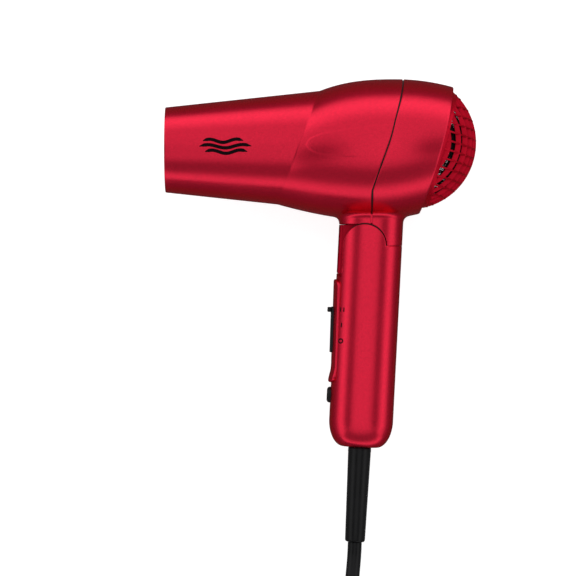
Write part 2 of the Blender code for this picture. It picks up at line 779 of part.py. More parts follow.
def make_knuckle(head):
    """The neck's tongue, its root held between the two halves of the neck."""
    lower = TONGUE_REACH * math.sin(math.radians(235))
    edge = NECK_EDGE_Y - JOINT_GAP
    inner_x = -TONGUE_REACH * math.cos(math.radians(55))
    outline = [(TONGUE_ROOT_X, ROOT_TOP), (TONGUE_ROOT_X, edge), (-0.03, edge), (-0.03, lower * 0.72),
               *arc(TONGUE_REACH, 222, 235, 4), (inner_x + 0.0010, -0.0062),
               *arc(TONGUE_DISC, 222, 360, 16), (TONGUE_DISC, ROOT_TOP)]
    tongue = prism("hinge_knuckle", outline, -TONGUE_HALF, TONGUE_HALF)
    knuckle = part("hinge_knuckle", tongue, "red", head)
    keep(knuckle, tool("tongue_skin", stem_piece("tongue_skin", -0.03, 0.03, -0.0001), head))
    root = stem_piece("knuckle_root", NECK_EDGE_Y + 0.0006, ROOT_TOP - 0.0008, -STEM_WALL - 2 * CLEAR)
    join(knuckle, tool("knuckle_root", root, head))
    cut(knuckle, tool("knuckle_bore", rods("knuckle_bore", [((0, 0, 0), PIN_RADIUS + CLEAR, 0.03)]), head))


def make_heater_leads(head):
    for number, side in enumerate((-1, 1), 1):
        start = HEATER_SPAN[1]
        points = [(start + 0.0012, BARREL_Y - 0.006, side * 0.0022),
                  (start + 0.0014, BARREL_Y - 0.009, side * 0.003),
                  (start + 0.0030, BARREL_Y - 0.0135, side * 0.004),
                  (-0.0215, BARREL_Y - 0.0200, side * 0.004), (-0.0140, BARREL_Y - 0.0260, side * 0.004),
                  (-0.0090, ROOT_TOP + 0.0028, side * 0.0035), (-0.0075, ROOT_TOP + 0.0010, side * 0.003)]
        lead = wire("heater_lead", smooth_path(points, 3), WIRE_RADIUS)
        part(f"heater_lead_{number}", lead, "grey", head)


# Handle


def handle_region():
    """Side outline of the handle: the round cheek, the step in front of it and everything below."""
    return [(0.04, -JOINT_GAP), *arc(CHEEK_RADIUS, -1.9, 182, 22), CHEEK_FRONT_LOW,
            (CHEEK_FRONT_LOW[0] - 0.0007, CHEEK_STEP_Y + 0.0005), (-0.014, CHEEK_STEP_Y),
            (-0.04, CHEEK_STEP_Y), (-0.04, -0.04 - STEM_LENGTH), (0.04, -0.04 - STEM_LENGTH)]


def slot_outline():
    """The room between the cheeks that the tongue sweeps as the joint folds."""
    behind = CHEEK_RADIUS + 0.00045
    return [(-0.03, 0.02), *arc(SLOT_REACH, 215, 320, 20), (0.0150, -0.0080), (behind, -0.0025),
            (behind, 0.02)]


def make_handle(handle, grip):
    pocket = tool("bezel_pocket", prism("bezel_pocket", bezel_outline(CLEAR), *FRONT_REACH, "x"), grip)
    cut(pocket, tool("pocket_floor", handle_form("pocket_floor", 0.01, -BEZEL_SEAT - CLEAR), handle))
    cavity_form = handle_form("handle_cavity", BEZEL_TOP + 0.0010, -STEM_WALL, -BASE_WALL)
    cavity = tool("handle_cavity", cavity_form, handle)
    slot_form = prism("tongue_slot", slot_outline(), -CHEEK_INSIDE_Z, CHEEK_INSIDE_Z)
    slot = tool("tongue_slot", slot_form, handle)
    pin_hole = ((0, 0, 0), PIN_RADIUS + CLEAR, 2 * (PIN_HALF + CLEAR))
    bore = tool("pin_bore", rods("pin_bore", [pin_hole]), handle)
    knob_slot = tool("front_opening", boxes("front_opening", [slot_span(CLEAR + 0.0004)]), grip)
    button_hole = ((-0.015, BUTTON_Y, 0), BUTTON_RADIUS + CLEAR, 0.008)
    base_hole = ((0, -STEM_LENGTH, 0), RELIEF_NECK + CLEAR, 0.010)
    round_holes = (tool("button_hole", rods("button_hole", [button_hole], 24, "X"), grip),
                   tool("base_hole", rods("base_hole", [base_hole], 24, "Y"), grip))
    for name, side in (("handle_left", 1), ("handle_right", -1)):
        low, high = sorted((side * CLEAR / 2, side * 0.03))
        shell = part(name, handle_form(name, 0.03, 0), "red", handle)
        keep(shell, tool(f"{name}_side", prism(f"{name}_side", handle_region(), low, high), handle))
        cut(shell, cavity, slot)
        bosses = rods("bosses", screw_rods(side, BOSS_RADIUS, 0.0002, BOSS_END))
        join(shell, tool(f"{name}_bosses", bosses, grip))
        cut(shell, bore, pocket, knob_slot, *round_holes)
        depth = 0.02 if side < 0 else SCREW_TIP + 0.0004
        bores = rods("bores", screw_rods(side, SCREW_RADIUS + CLEAR, -0.001, depth), 16)
        cut(shell, tool(f"{name}_bores", bores, grip))
        if side < 0:
            sinks = rods("sinks", screw_rods(side, SCREW_HEAD[0] + 0.0004, SCREW_SEAT, 0.02), 20)
            cut(shell, tool("screw_sinks", sinks, grip))


def screw_rods(side, radius, near, far):
    return [((x, y, side * (near + far) / 2), radius, far - near) for x, y in SCREWS]


def make_handle_screws(grip):
    """Screws from the right-hand side into the bosses of the left-hand shell."""
    head_radius, top = SCREW_HEAD
    seat = SCREW_SEAT + 0.0002
    profile = [(0, SCREW_TIP), (0.0010, SCREW_TIP - 0.0006), (SCREW_RADIUS, SCREW_TIP - 0.0016),
               (SCREW_RADIUS, -seat), (head_radius, -seat - 0.0002), (head_radius - 0.0002, -top + 0.0004),
               (0, -top)]
    for number, (x, y) in enumerate(SCREWS, 1):
        turn(part(f"handle_screw_{number}", turned("handle_screw", profile), "steel", grip, (x, y, 0)), 12)


def bezel_outline(grow):
    half = BEZEL_HALF + grow
    return rounded_box((BEZEL_BOTTOM - grow, -half), (BEZEL_TOP + grow, half), BEZEL_CORNER + grow)


def plate_outline(grow):
    half = PLATE_HALF + grow
    return rounded_box((PLATE_BOTTOM - grow, -half), (PLATE_TOP + grow, half), PLATE_CORNER + grow)


def slot_span(clearance):
    """The room that the knob's stem runs in, through the handle, the plate and the switch."""
    y_half, z_half = KNOB_STEM
    return ((-0.022, KNOB_Y - KNOB_TRAVEL - y_half - clearance, -z_half - clearance),
            (-0.0105, KNOB_Y + y_half + clearance, z_half + clearance))


def skin(name, outline, out, back, frames, look):
    """A piece between two offsets of the handle's surface, inside an outline seen from the front."""
    handle, grip = frames
    piece = part(name, prism(name, outline, *FRONT_REACH, "x"), look, grip)
    keep(piece, tool(f"{name}_front", handle_form(f"{name}_front", 0.01, out), handle))
    cut(piece, tool(f"{name}_back", handle_form(f"{name}_back", 0.02, back), handle))
    return piece


def make_front(handle, grip):
    frames = (handle, grip)
    bezel = skin("front_bezel", bezel_outline(0), BEZEL_RISE, -BEZEL_SEAT, frames, "red")
    window = prism("plate_window", plate_outline(CLEAR), *FRONT_REACH, "x")
    cut(bezel, tool("plate_window", window, grip))
    plate = skin("switch_plate", plate_outline(0), PLATE_RISE, -BEZEL_SEAT, frames, "black")
    cut(plate, tool("plate_slot", boxes("plate_slot", [slot_span(CLEAR)]), grip))
    make_knob(grip)
    make_switch(grip)


def make_knob(grip):
    """A ribbed thumb piece with a stem through the plate."""
    face = -STEM_WIDTH / 2 - PLATE_RISE - CLEAR
    tip = -STEM_WIDTH / 2 - KNOB_RISE
    track = empty("switch_track", grip, (0, KNOB_Y, 0))
    y_half, z_half = KNOB_HALF
    outline = rounded_box((tip, -y_half), (face, y_half), 0.0005, 2)
    knob = part("switch_knob", prism("switch_knob", outline, -z_half, z_half), "black", track)
    stem_y, stem_z = KNOB_STEM
    stem = boxes("knob_stem", [((face - 0.0006, -stem_y, -stem_z), (-0.0112, stem_y, stem_z))])
    join(knob, tool("knob_stem", stem, track))


def make_switch(grip):
    body = part("switch_body", boxes("switch_body", [(SWITCH_LOW, SWITCH_HIGH)]), "grey", grip)
    cut(body, tool("switch_groove", boxes("switch_groove", [slot_span(2 * CLEAR)]), grip))
    y = SWITCH_LOW[1]
    x = SWITCH_LOW[0] + 0.0018
    tabs = [((x, y - SWITCH_TAB, z - 0.0018), (x + 0.0008, y + 0.001, z + 0.0018)) for z in (-0.0035, 0.0035)]
    join(body, tool("switch_tabs", boxes("switch_tabs", tabs), grip))


def make_button(grip):
    """The round button slides along the grip's x axis, its flange behind the handle's wall."""
    axis = empty("button_axis", grip, (0, BUTTON_Y, 0), (0, -math.pi / 2, 0))
    face = STEM_WIDTH / 2
    wall = face - STEM_WALL - BUTTON_SEAT
    stem_radius, stem_tip = BUTTON_STEM
    flange = BUTTON_RADIUS + BUTTON_FLANGE
    top = face + BUTTON_RISE
    profile = [(0, top), (BUTTON_RADIUS - 0.0018, top - 0.0002), (BUTTON_RADIUS - 0.0006, top - 0.0008),
               (BUTTON_RADIUS, top - 0.0014), (BUTTON_RADIUS, wall), (flange, wall), (flange, wall - 0.001),
               (stem_radius, wall - 0.001), (stem_radius, stem_tip), (0, stem_tip)]
    turn(part("cool_shot_button", turned("cool_shot_button", profile), "black", axis), 20)
    reach = stem_tip - BUTTON_TRAVEL - CLEAR
    corners = ((0.0018 - reach, BUTTON_Y - 0.0045, -0.0032), (-0.0010, BUTTON_Y + 0.0045, 0.0032))
    switch = part("cool_shot_switch", boxes("cool_shot_switch", [corners]), "grey", grip)
    corners = ((-reach, BUTTON_Y - 0.001, -0.0012), (0.002 - reach, BUTTON_Y + 0.001, 0.0012))
    join(switch, tool("switch_nub", boxes("switch_nub", [corners]), grip))


def make_hinge(handle):
    pin = rods("hinge_pin", [((0, 0, 0), PIN_RADIUS, 2 * PIN_HALF)], 16)
    part("hinge_pin", pin, "steel", handle)
    low = TONGUE_HALF + CLEAR
    for name, side in (("left", 1), ("right", -1)):
        ends = sorted((side * low, side * (low + WASHER_THICKNESS)))
        ring = turned("hinge_washer", tube_profile(PIN_RADIUS + CLEAR, WASHER_RADIUS, *ends), True)
        turn(part(f"hinge_washer_{name}", ring, "brass", handle), 16)


def make_inner_lead(grip):
    """The end of the lead above the relief, its clamp, and the two wires on to the switch."""
    radius, length = INNER_LEAD
    low = RELIEF_INSIDE + CLEAR
    top = low + length
    lead = rods("inner_lead", [((0, (top + low) / 2, 0), radius, length)], 16, "Y")
    part("inner_lead", lead, "rubber", grip)
    width, height, depth = CLAMP_SIZE
    start = low + CLAMP_START - CLEAR
    corners = ((-0.0070, start, -depth / 2), (width - 0.0070, start + height, depth / 2))
    clamp = part("cord_clamp", boxes("cord_clamp", [corners]), "black", grip)
    bore = rods("clamp_bore", [((0, start + height / 2, 0), radius + CLEAR, 2.5 * height)], 16, "Y")
    cut(clamp, tool("clamp_bore", bore, grip))
    tab = SWITCH_LOW[1] - SWITCH_TAB - CLEAR
    x = SWITCH_LOW[0] + 0.0022
    for number, side in enumerate((-1, 1), 1):
        points = [(0, top + 0.0012, side * 0.0013), (-0.0008, top + 0.0035, side * 0.0048),
                  (-0.0030, BUTTON_Y, side * 0.0062), (-0.0078, BUTTON_Y + 0.0070, side * 0.0056),
                  (x, tab - 0.002, side * 0.0040), (x, tab, side * 0.0035)]
        path = smooth_path(points, 3)
        part(f"switch_wire_{number}", wire("switch_wire", path, WIRE_RADIUS), "grey", grip)


# Cord and plug


def make_relief(grip):
    """The tapered relief: flange inside the handle, neck through its end wall, sleeve outside."""
    axis = empty("relief_axis", grip, (0, 0, 0), (-math.pi / 2, 0, 0))
    outside = -STEM_LENGTH - CLEAR
    flange, thickness = RELIEF_FLANGE
    wide, narrow = RELIEF_RADII
    profile = [(0, RELIEF_INSIDE), (flange - 0.0002, RELIEF_INSIDE), (flange, RELIEF_INSIDE - thickness),
               (RELIEF_NECK, RELIEF_INSIDE - thickness), (RELIEF_NECK, outside), (wide, outside),
               (narrow, RELIEF_END + 0.0006), (narrow - 0.0006, RELIEF_END), (0, RELIEF_END)]
    turn(part("strain_relief", turned("strain_relief", profile), "rubber", axis), 20)
    return axis


def settle(rest, nodes):
    """Moves the dryer until its box stands centred on the origin, on the plane z = 0."""
    bpy.context.view_layer.update()
    graph = bpy.context.evaluated_depsgraph_get()
    corners = []
    for node in nodes:
        shape = node.evaluated_get(graph)
        corners += [shape.matrix_world @ vertex.co for vertex in shape.to_mesh().vertices]
        shape.to_mesh_clear()
    low = [min(corner[i] for corner in corners) for i in range(3)]
    high = [max(corner[i] for corner in corners) for i in range(3)]
    rest.location = (-(low[0] + high[0]) / 2, -(low[1] + high[1]) / 2, -low[2])
    bpy.context.view_layer.update()


def make_cord(exit_point, exit_way):
    """The cord runs out of the relief to the floor and its coil, and on from the coil to the plug."""
    floor = CORD_RADIUS + CORD_LIFT
    x, y = exit_point.x, exit_point.y
    middle = Vector((x + COIL_CENTRE[0], y + COIL_CENTRE[1], 0))
    lead = [exit_point + exit_way * CLEAR, exit_point + exit_way * 0.008,
            (x - 0.0016, y - 0.0220, floor + 0.0014), (x - 0.0016, y - 0.0330, floor + 0.0001),
            (x - 0.0008, y - 0.0430, floor), (x - 0.0002, middle.y + 0.0300, floor)]
    part("cord", wire("cord", smooth_path(lead, 4), CORD_RADIUS), "rubber", None)
    reach = TURN_STEP + CORD_RADIUS
    ring = tube_profile(TURN_RADIUS - reach, TURN_RADIUS + reach, COIL_LIFT, COIL_LIFT + 4 * CORD_RADIUS)
    turn(part("cord_coil", turned("cord_coil", ring, True), "rubber", None, middle), ROUND)
    make_tie(middle)
    make_tail(middle)


def make_tie(middle):
    """A strap round the coil's far side."""
    reach = TURN_STEP + CORD_RADIUS + CLEAR
    top = 4 * CORD_RADIUS + COIL_LIFT + CLEAR
    near, far = TURN_RADIUS - reach, TURN_RADIUS + reach
    half = TIE_WIDTH / 2
    outer = ((near - TIE_THICKNESS, -half, COIL_LIFT / 2), (far + TIE_THICKNESS, half, top + TIE_THICKNESS))
    inner = ((near - CLEAR, -half - 0.001, -0.001), (far, half + 0.001, top))
    place = {"location": middle, "rotation": (0, 0, math.radians(215))}
    tie = part("cord_tie", boxes("cord_tie", [outer]), "black", None, **place)
    cut(tie, tool("tie_inside", boxes("tie_inside", [inner]), None, **place))


def make_tail(middle):
    """From the coil's top layer down to the floor and round to the plug, which lies beside the coil."""
    floor = CORD_RADIUS + CORD_LIFT
    height = PLUG_SIZE[2] / 2 + COIL_LIFT
    x, y = middle.x, middle.y
    outer = TURN_RADIUS + TURN_STEP
    tip = Vector((x - 0.0770, y - 0.0230, height))
    points = [(x - 0.0245, y - outer - 0.0059, 0.0100), (x - 0.0370, y - outer - 0.0105, 0.0065),
              (x - 0.0490, y - outer - 0.0118, floor), (tip.x + 0.0140, y - 0.0573, floor),
              (tip.x + 0.0038, y - 0.0470, floor + 0.0012), (tip.x, tip.y - 0.0100, height - 0.0017),
              (tip.x, tip.y - 2 * CLEAR, height)]
    part("cord_tail", wire("cord_tail", smooth_path(points, 4), CORD_RADIUS), "rubber", None)
    make_plug(tip)


def make_plug(tip):
    """A plug with a built-in interrupter: relief, body, two blades and two buttons on top."""
    narrow, wide, relief = PLUG_RELIEF
    axis = empty("plug_axis", None, tip, (math.pi / 2, 0, 0))
    profile = [(0, 0), (narrow, 0), (narrow + 0.0004, -0.0006), (wide, -relief), (0, -relief)]
    turn(part("plug_relief", turned("plug_relief", profile), "rubber", axis), 24)
    width, length, height = PLUG_SIZE
    base = empty("plug_frame", None, (tip.x, tip.y + relief + CLEAR, COIL_LIFT))
    outline = rounded_box((-width / 2, 0), (width / 2, length), PLUG_CORNER)
    body = part("plug_body", prism("plug_body", outline, 0, height), "black", base)
    bevel = body.modifiers.new("round", "BEVEL")
    bevel.width = PLUG_EDGE
    bevel.segments = 2
    bevel.limit_method = "ANGLE"
    make_blades(body, base)
    make_plug_buttons(body, base)


def make_blades(body, base):
    """Two flat blades, the left one the wide blade of a polarised plug."""
    length, middle = PLUG_SIZE[1], PLUG_SIZE[2] / 2
    thick, reach, tall = BLADE
    sinks = []
    for number, (side, extra) in enumerate(((-1, 0.0016), (1, 0.0)), 1):
        x, up = side * BLADE_SPACING / 2, (tall + extra) / 2
        low = Vector((x - thick / 2, length - BLADE_SINK + CLEAR, middle - up))
        high = Vector((x + thick / 2, length + reach, middle + up))
        part(f"plug_blade_{number}", boxes("plug_blade", [(low, high)]), "brass", base)
        grow = Vector((CLEAR, CLEAR, CLEAR))
        sinks.append((low - grow, high + grow))
    cut(body, tool("blade_sinks", boxes("blade_sinks", sinks), base))


def make_plug_buttons(body, base):
    top = PLUG_SIZE[2]
    half_x, half_y = PLUG_BUTTON[0] / 2, PLUG_BUTTON[1] / 2
    wells = []
    for name, y, look in (("reset_button", 0.0150, "dark_red"), ("test_button", 0.0270, "grey")):
        wells.append(((-half_x - CLEAR, y - half_y - CLEAR, top - PLUG_WELL),
                      (half_x + CLEAR, y + half_y + CLEAR, top + 0.001)))
        axis = empty(f"{name}_axis", base, (0, y, top))
        corners = ((-half_x, -half_y, PLUG_BUTTON_RISE - PLUG_BUTTON[2]), (half_x, half_y, PLUG_BUTTON_RISE))
        part(name, boxes(name, [corners]), look, axis)
    cut(body, tool("button_wells", boxes("button_wells", wells), base))


# Assembly


def rest_tilt():
    """The tilt that brings the barrel's side and the handle's end to one level."""
    barrel = (TOP_PEAK[1] - BOTTOM_PEAK[1]) / 2
    grip = STEM_DEPTH / 2
    return math.asin((barrel - grip) / (BARREL_Y + STEM_LENGTH - STEM_CORNER))


clear_scene()
PARTS = new_collection("hair_dryer")
TOOLS = new_collection("hair_dryer_tools")
rest_pose = empty("rest_pose", rotation=(rest_tilt(), 0, 0))
fold_axis = empty("fold_axis", rest_pose)
grip_frame = empty("grip_frame", rest_pose, (STEM_X, 0, 0), (0, 0, -STEM_LEAN))
make_housings(fold_axis)
make_housing_screws(fold_axis)
make_rear_grille(fold_axis)
make_outlet_grille(fold_axis)
make_heater(fold_axis)
make_motor(fold_axis)
make_fan(fold_axis)
make_knuckle(fold_axis)
make_heater_leads(fold_axis)
make_handle(rest_pose, grip_frame)
make_handle_screws(grip_frame)
make_front(rest_pose, grip_frame)
make_button(grip_frame)
make_hinge(rest_pose)
make_inner_lead(grip_frame)
settle(rest_pose, [obj for obj in PARTS.objects if obj.type != "EMPTY"])
relief_axis = make_relief(grip_frame)
bpy.context.view_layer.update()
make_cord(relief_axis.matrix_world @ Vector((0, 0, RELIEF_END)),
          (relief_axis.matrix_world.to_3x3() @ Vector((0, 0, -1))).normalized())
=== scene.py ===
"""Looks of the folding travel hair dryer: lacquered shells, grille, switch, cord, plug, light and camera.

Shapes are made in the design frame, in metres: its origin is on the fold axis, x runs to the intake
end, y from the handle up to the barrel, z out of the left side. REST places that frame in the row frame.
"""

import json
import math

import bmesh
import bpy
import numpy as np
from mathutils import Matrix, Vector
from mathutils.bvhtree import BVHTree


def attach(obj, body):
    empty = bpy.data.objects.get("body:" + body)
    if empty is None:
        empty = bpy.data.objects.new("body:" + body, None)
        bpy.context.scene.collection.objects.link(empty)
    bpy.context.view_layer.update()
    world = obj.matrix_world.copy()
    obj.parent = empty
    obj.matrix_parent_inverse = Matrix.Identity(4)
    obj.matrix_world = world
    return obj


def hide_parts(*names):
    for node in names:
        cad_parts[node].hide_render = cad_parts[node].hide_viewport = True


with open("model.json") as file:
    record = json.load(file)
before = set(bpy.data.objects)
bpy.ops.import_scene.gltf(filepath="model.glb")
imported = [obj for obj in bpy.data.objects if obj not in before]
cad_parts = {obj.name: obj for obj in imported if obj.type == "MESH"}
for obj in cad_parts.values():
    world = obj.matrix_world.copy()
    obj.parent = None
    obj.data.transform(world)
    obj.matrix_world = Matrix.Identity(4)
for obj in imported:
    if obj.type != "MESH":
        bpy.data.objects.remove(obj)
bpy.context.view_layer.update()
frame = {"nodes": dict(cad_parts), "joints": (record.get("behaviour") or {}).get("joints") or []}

# Barrel and nozzle
BARREL_Y = 0.048
OUTLET_X = -0.0992
OUTLET_RADIUS = 0.0213
CREASE_X = -0.03305
CREASE_RADIUS = 0.02836
NOZZLE_SLOPE = (CREASE_RADIUS - OUTLET_RADIUS) / (CREASE_X - OUTLET_X)
CREASE_LEAN = 0.368
RIM_X = 0.036
RIM_LEAN = 0.268
RIM_BULGE = 0.0015
TOP_PEAK = (0.016, 0.08335)
TOP_FRONT = (0.0382, -0.00585, 2.6)
TOP_REAR = (0.0283, -0.00392, 2.0)
BOTTOM_PEAK = (0.002, 0.0129)
BOTTOM_FRONT = (0.0451, 0.0078, 1.64)
BOTTOM_REAR = (0.0265, 0.0034, 2.0)
WALL = 0.002
SEAM = ((0.0036, -0.01), (0.0036, 0.0109), (0.0034, 0.0245), (0.0042, 0.029), (0.0083, 0.041),
        (0.0122, 0.052), (0.0148, 0.062), (0.0178, 0.0735), (0.0195, 0.083), (0.0215, 0.1))
SEAM_HALF = 0.00032
PANEL = ((0.03, 0.043), (0.0009, 0.0435), (-0.0079, 0.0433), (-0.0171, 0.044), (-0.0235, 0.0451),
         (-0.0272, 0.0469), (-0.029, 0.0494), (-0.0272, 0.0524), (-0.0209, 0.0549), (-0.0097, 0.0567),
         (0.0016, 0.0582), (0.0109, 0.0589), (0.03, 0.0595))
PANEL_RISE = 0.00014
PANEL_SOFT = 0.0009
PANEL_FADE = (0.005, 0.009)

# Intake grille
GRILLE_X = 0.0368
GRILLE_RADIUS = 0.03
GRILLE_HEIGHT = 0.0188
GRILLE_LEAN = math.radians(14.6)
RIB_PITCH = 0.0045
RIB_WIDTH = 0.0009
RIB_DEPTH = 0.0027
GRILLE_BORDER = 0.0013
SCREEN_PITCH = 0.0007
GUARD_INSET = 0.0072

# Neck and handle
STEM_X = 0.003
STEM_LEAN = math.radians(2.93)
STEM_WIDTH = 0.032
STEM_DEPTH = 0.0276
STEM_POWER = 2.5
STEM_LENGTH = 0.1005
STEM_CORNER = 0.0134
STEM_CORNER_INSET = 0.00765
CHEEK_RADIUS = 0.01065
JOINT_GAP = 0.00035
NECK_GAP = 0.00055
NECK_EDGE_Y = 0.01085
CHEEK_STEP_Y = -0.0137
CHEEK_INSIDE_Z = 0.0078
NECK_FILLET = 0.0032
TONGUE_HALF = 0.0065
TONGUE_DISC = 0.0096
TONGUE_REACH = 0.0189
EDGE = 0.00028

# Front of the handle
BEZEL_SPAN = (-0.069, -0.0174)
BEZEL_HALF = 0.0088
BEZEL_RISE = 0.0013
BEZEL_FLARE = 0.0012
FRONT_TAPER = 0.019
PLATE_SPAN = (-0.054, -0.0312)
PLATE_HALF = 0.0046
PLATE_RISE = 0.002
KNOB_Y = -0.0327
KNOB_TRAVEL = 0.016
KNOB_HALF = (0.00125, 0.0037)
KNOB_RISE = 0.0036
BUTTON_Y = -0.0752
BUTTON_RADIUS = 0.004
BUTTON_RISE = 0.0018
LABEL_X = -0.0124
LABEL_Y = (-0.0324, -0.0401, -0.048)

# Cord and plug
RELIEF_RADII = (0.0057, 0.005)
RELIEF_END = -0.148
CORD_RADIUS = 0.0035
CORD_FLOOR = CORD_RADIUS + 0.0005
COIL_LIFT = 0.0002
TURN_RADIUS = 0.042
TURN_STEP = 0.0072
LAYER_STEP = 0.00705
COIL_CENTRE = (-0.0492, -0.083)
TIE_ANGLE = math.radians(215)
PLUG_SIZE = (0.03, 0.044, 0.02)
PLUG_CORNER = 0.006
PLUG_BUTTON = (0.005, 0.0035, 0.0034)
PLUG_BUTTON_Y = (0.015, 0.027)
BLADE_APART = 0.0127

# The camera's aim, in the design frame, and the width that it takes in
AIM = (-0.038, -0.021, 0.0)
VIEW_WIDTH = 0.288
VIEW_DISTANCE = 1.6

FOLD = next(joint for joint in frame["joints"] if joint["name"] == "handle_fold")
TILT = math.atan2(-FOLD["axis"][1], FOLD["axis"][2])

def at(x, y, z, turn=0.0, axis="Z"):
    return Matrix.Translation((x, y, z)) @ Matrix.Rotation(turn, 4, axis)


REST = at(*FOLD["pos_m"], TILT, "X")
TO_GRIP = at(STEM_X, 0, 0, -STEM_LEAN)
GRIP = REST @ TO_GRIP


# Materials


def feed(tree, node, inputs):
    """Gives a node's inputs what they get: sockets are linked, plain values are set."""
    for key, value in inputs.items():
        if isinstance(value, bpy.types.NodeSocket):
            tree.links.new(value, node.inputs[key])
        else:
            node.inputs[key].default_value = value


def add_node(tree, kind, output, inputs, **settings):
    """One output of a new node."""
    node = tree.nodes.new(kind)
    for name, value in settings.items():
        setattr(node, name, value)
    feed(tree, node, inputs)
    return node.outputs[output]


def nodes_of(name):
    material = bpy.data.materials.new(name)
    material.use_nodes = True
    tree = material.node_tree
    return material, tree, tree.nodes["Principled BSDF"]


def noise(tree, scale, detail=4.0):
    place = add_node(tree, "ShaderNodeTexCoord", "Object", {})
    return add_node(tree, "ShaderNodeTexNoise", "Fac", {"Scale": scale, "Detail": detail, "Vector": place})


def ramp(tree, factor, stops):
    """Colours between (position, colour) stops."""
    node = tree.nodes.new("ShaderNodeValToRGB")
    elements = node.color_ramp.elements
    while len(elements) < len(stops):
        elements.new(0.5)
    for element, (position, _) in zip(elements, stops):
        element.position = position
    for element, (_, colour) in zip(elements, stops):
        element.color = (*colour, 1)
    feed(tree, node, {"Fac": factor})
    return node.outputs["Color"]


def varied(tree, factor, colour, vary, span):
    """The colour, a little darker below the span and a little lighter above it."""
    low = [c * (1 - vary) for c in colour]
    high = [min(1, c * (1 + vary)) for c in colour]
    return ramp(tree, factor, ((span[0], low), (span[1], high)))


def mapped(tree, value, span, result=(0.0, 1.0)):
    """A value with one span mapped to another."""
    ends = dict(zip(("From Min", "From Max", "To Min", "To Max"), (*span, *result)))
    return add_node(tree, "ShaderNodeMapRange", "Result", {"Value": value, **ends})


def bump(tree, factor, strength, distance):
    inputs = {"Strength": strength, "Distance": distance, "Height": factor}
    return add_node(tree, "ShaderNodeBump", "Normal", inputs)


def finish(name, colour, vary, metallic, roughness, grain):
    """A moulded or plated finish: (low, high) roughness, grain = (scale, strength, height)."""
    material, tree, shader = nodes_of(name)
    cloud = noise(tree, 90.0)
    scale, strength, height = grain
    feed(tree, shader, {
        "Base Color": varied(tree, cloud, colour, vary, (0.35, 0.65)), "Metallic": metallic,
        "Roughness": mapped(tree, cloud, (0.3, 0.7), roughness),
        "Normal": bump(tree, noise(tree, scale, 2.0), strength, height)})
    return material


def lacquer(name, colour):
    """Pearl lacquer: flakes of slightly different tint and tilt under a thin clear coat."""
    material, tree, shader = nodes_of(name)
    place = add_node(tree, "ShaderNodeTexCoord", "Object", {})
    flakes = add_node(tree, "ShaderNodeTexVoronoi", "Color", {"Scale": 4200.0, "Vector": place})
    grey = add_node(tree, "ShaderNodeRGBToBW", "Val", {"Color": flakes})
    feed(tree, shader, {
        "Base Color": varied(tree, grey, colour, 0.14, (0.2, 0.8)), "Metallic": 0.92,
        "Roughness": mapped(tree, noise(tree, 60.0), (0.3, 0.7), (0.235, 0.265)),
        "Specular Tint": (*RED_SHEEN, 1), "Coat Weight": 0.15, "Coat Roughness": 0.16,
        "Normal": bump(tree, grey, 0.1, 0.00002)})
    return material


def dulled(material, specular, tint=(1, 1, 1)):
    """The finish with a weaker, tinted reflection."""
    tree = material.node_tree
    feed(tree, tree.nodes["Principled BSDF"], {"Specular IOR Level": specular, "Specular Tint": (*tint, 1)})


RED_SHEEN = (0.5, 0.01, 0.03)
RED = (0.72, 0.014, 0.046)
LACQUER = lacquer("pearl_red_lacquer", RED)
BLACK = finish("satin_black", (0.005, 0.005, 0.0055), 0.25, 0.0, (0.28, 0.36), (2600.0, 0.12, 0.00002))
SHEATH = finish("cord_sheath", (0.0035, 0.0035, 0.004), 0.25, 0.0, (0.24, 0.32), (1500.0, 0.1, 0.00002))
for dark in (BLACK, SHEATH):
    dulled(dark, 0.18)
INK = finish("mark_ink", (0.0045, 0.0035, 0.0045), 0.2, 0.0, (0.45, 0.55), (3000.0, 0.1, 0.00001))
MESH_RED = finish("moulded_red", (0.5, 0.006, 0.022), 0.1, 0.75, (0.32, 0.4), (2200.0, 0.1, 0.00002))
# A darker copy of the red: painted shade for the tongue, which lies in the shade of the cheeks.
SHADE_PAINTED_RED = finish("shaded_red", (0.34, 0.005, 0.017), 0.1, 0.8, (0.34, 0.42), (2200.0, 0.1, 0.00002))
for muted in (INK, MESH_RED, SHADE_PAINTED_RED):
    dulled(muted, 0.1, RED_SHEEN)
STEEL = finish("plated_steel", (0.6, 0.6, 0.62), 0.1, 1.0, (0.24, 0.38), (1800.0, 0.12, 0.00002))
BRASS = finish("plated_brass", (0.78, 0.62, 0.34), 0.1, 1.0, (0.2, 0.34), (1500.0, 0.1, 0.00002))
MICA = finish("mica_sheet", (0.72, 0.64, 0.48), 0.22, 0.1, (0.35, 0.6), (700.0, 0.3, 0.00008))
GREY = finish("moulded_grey", (0.3, 0.31, 0.33), 0.12, 0.0, (0.42, 0.56), (2200.0, 0.15, 0.00003))
BOARD = finish("board_green", (0.04, 0.22, 0.09), 0.2, 0.0, (0.3, 0.45), (1200.0, 0.25, 0.00004))
RESET = finish("moulded_dark_red", (0.32, 0.012, 0.02), 0.15, 0.0, (0.35, 0.48), (2200.0, 0.15, 0.00003))

CARRIED_OVER = {
    "heat_shield": MICA, "heater_board_upright": MICA, "heater_board_level": MICA, "heating_coil": STEEL,
    "thermostat": STEEL, "thermal_fuse": GREY, "motor_can": STEEL, "motor_end_bell": BLACK,
    "rectifier_board": BOARD, "motor_mount": BLACK, "fan": GREY, "motor_shaft": STEEL,
    "heater_lead_1": GREY, "heater_lead_2": GREY, "hinge_pin": STEEL, "hinge_washer_left": BRASS,
    "hinge_washer_right": BRASS, "switch_body": GREY, "cool_shot_switch": GREY, "inner_lead": SHEATH,
    "cord_clamp": BLACK, "switch_wire_1": GREY, "switch_wire_2": GREY,
}


# Mesh building


def xyz(x, y, z):
    return np.stack([x, y, z], -1)


def new_object(name, data):
    obj = bpy.data.objects.new(name, data)
    bpy.context.scene.collection.objects.link(obj)
    return obj


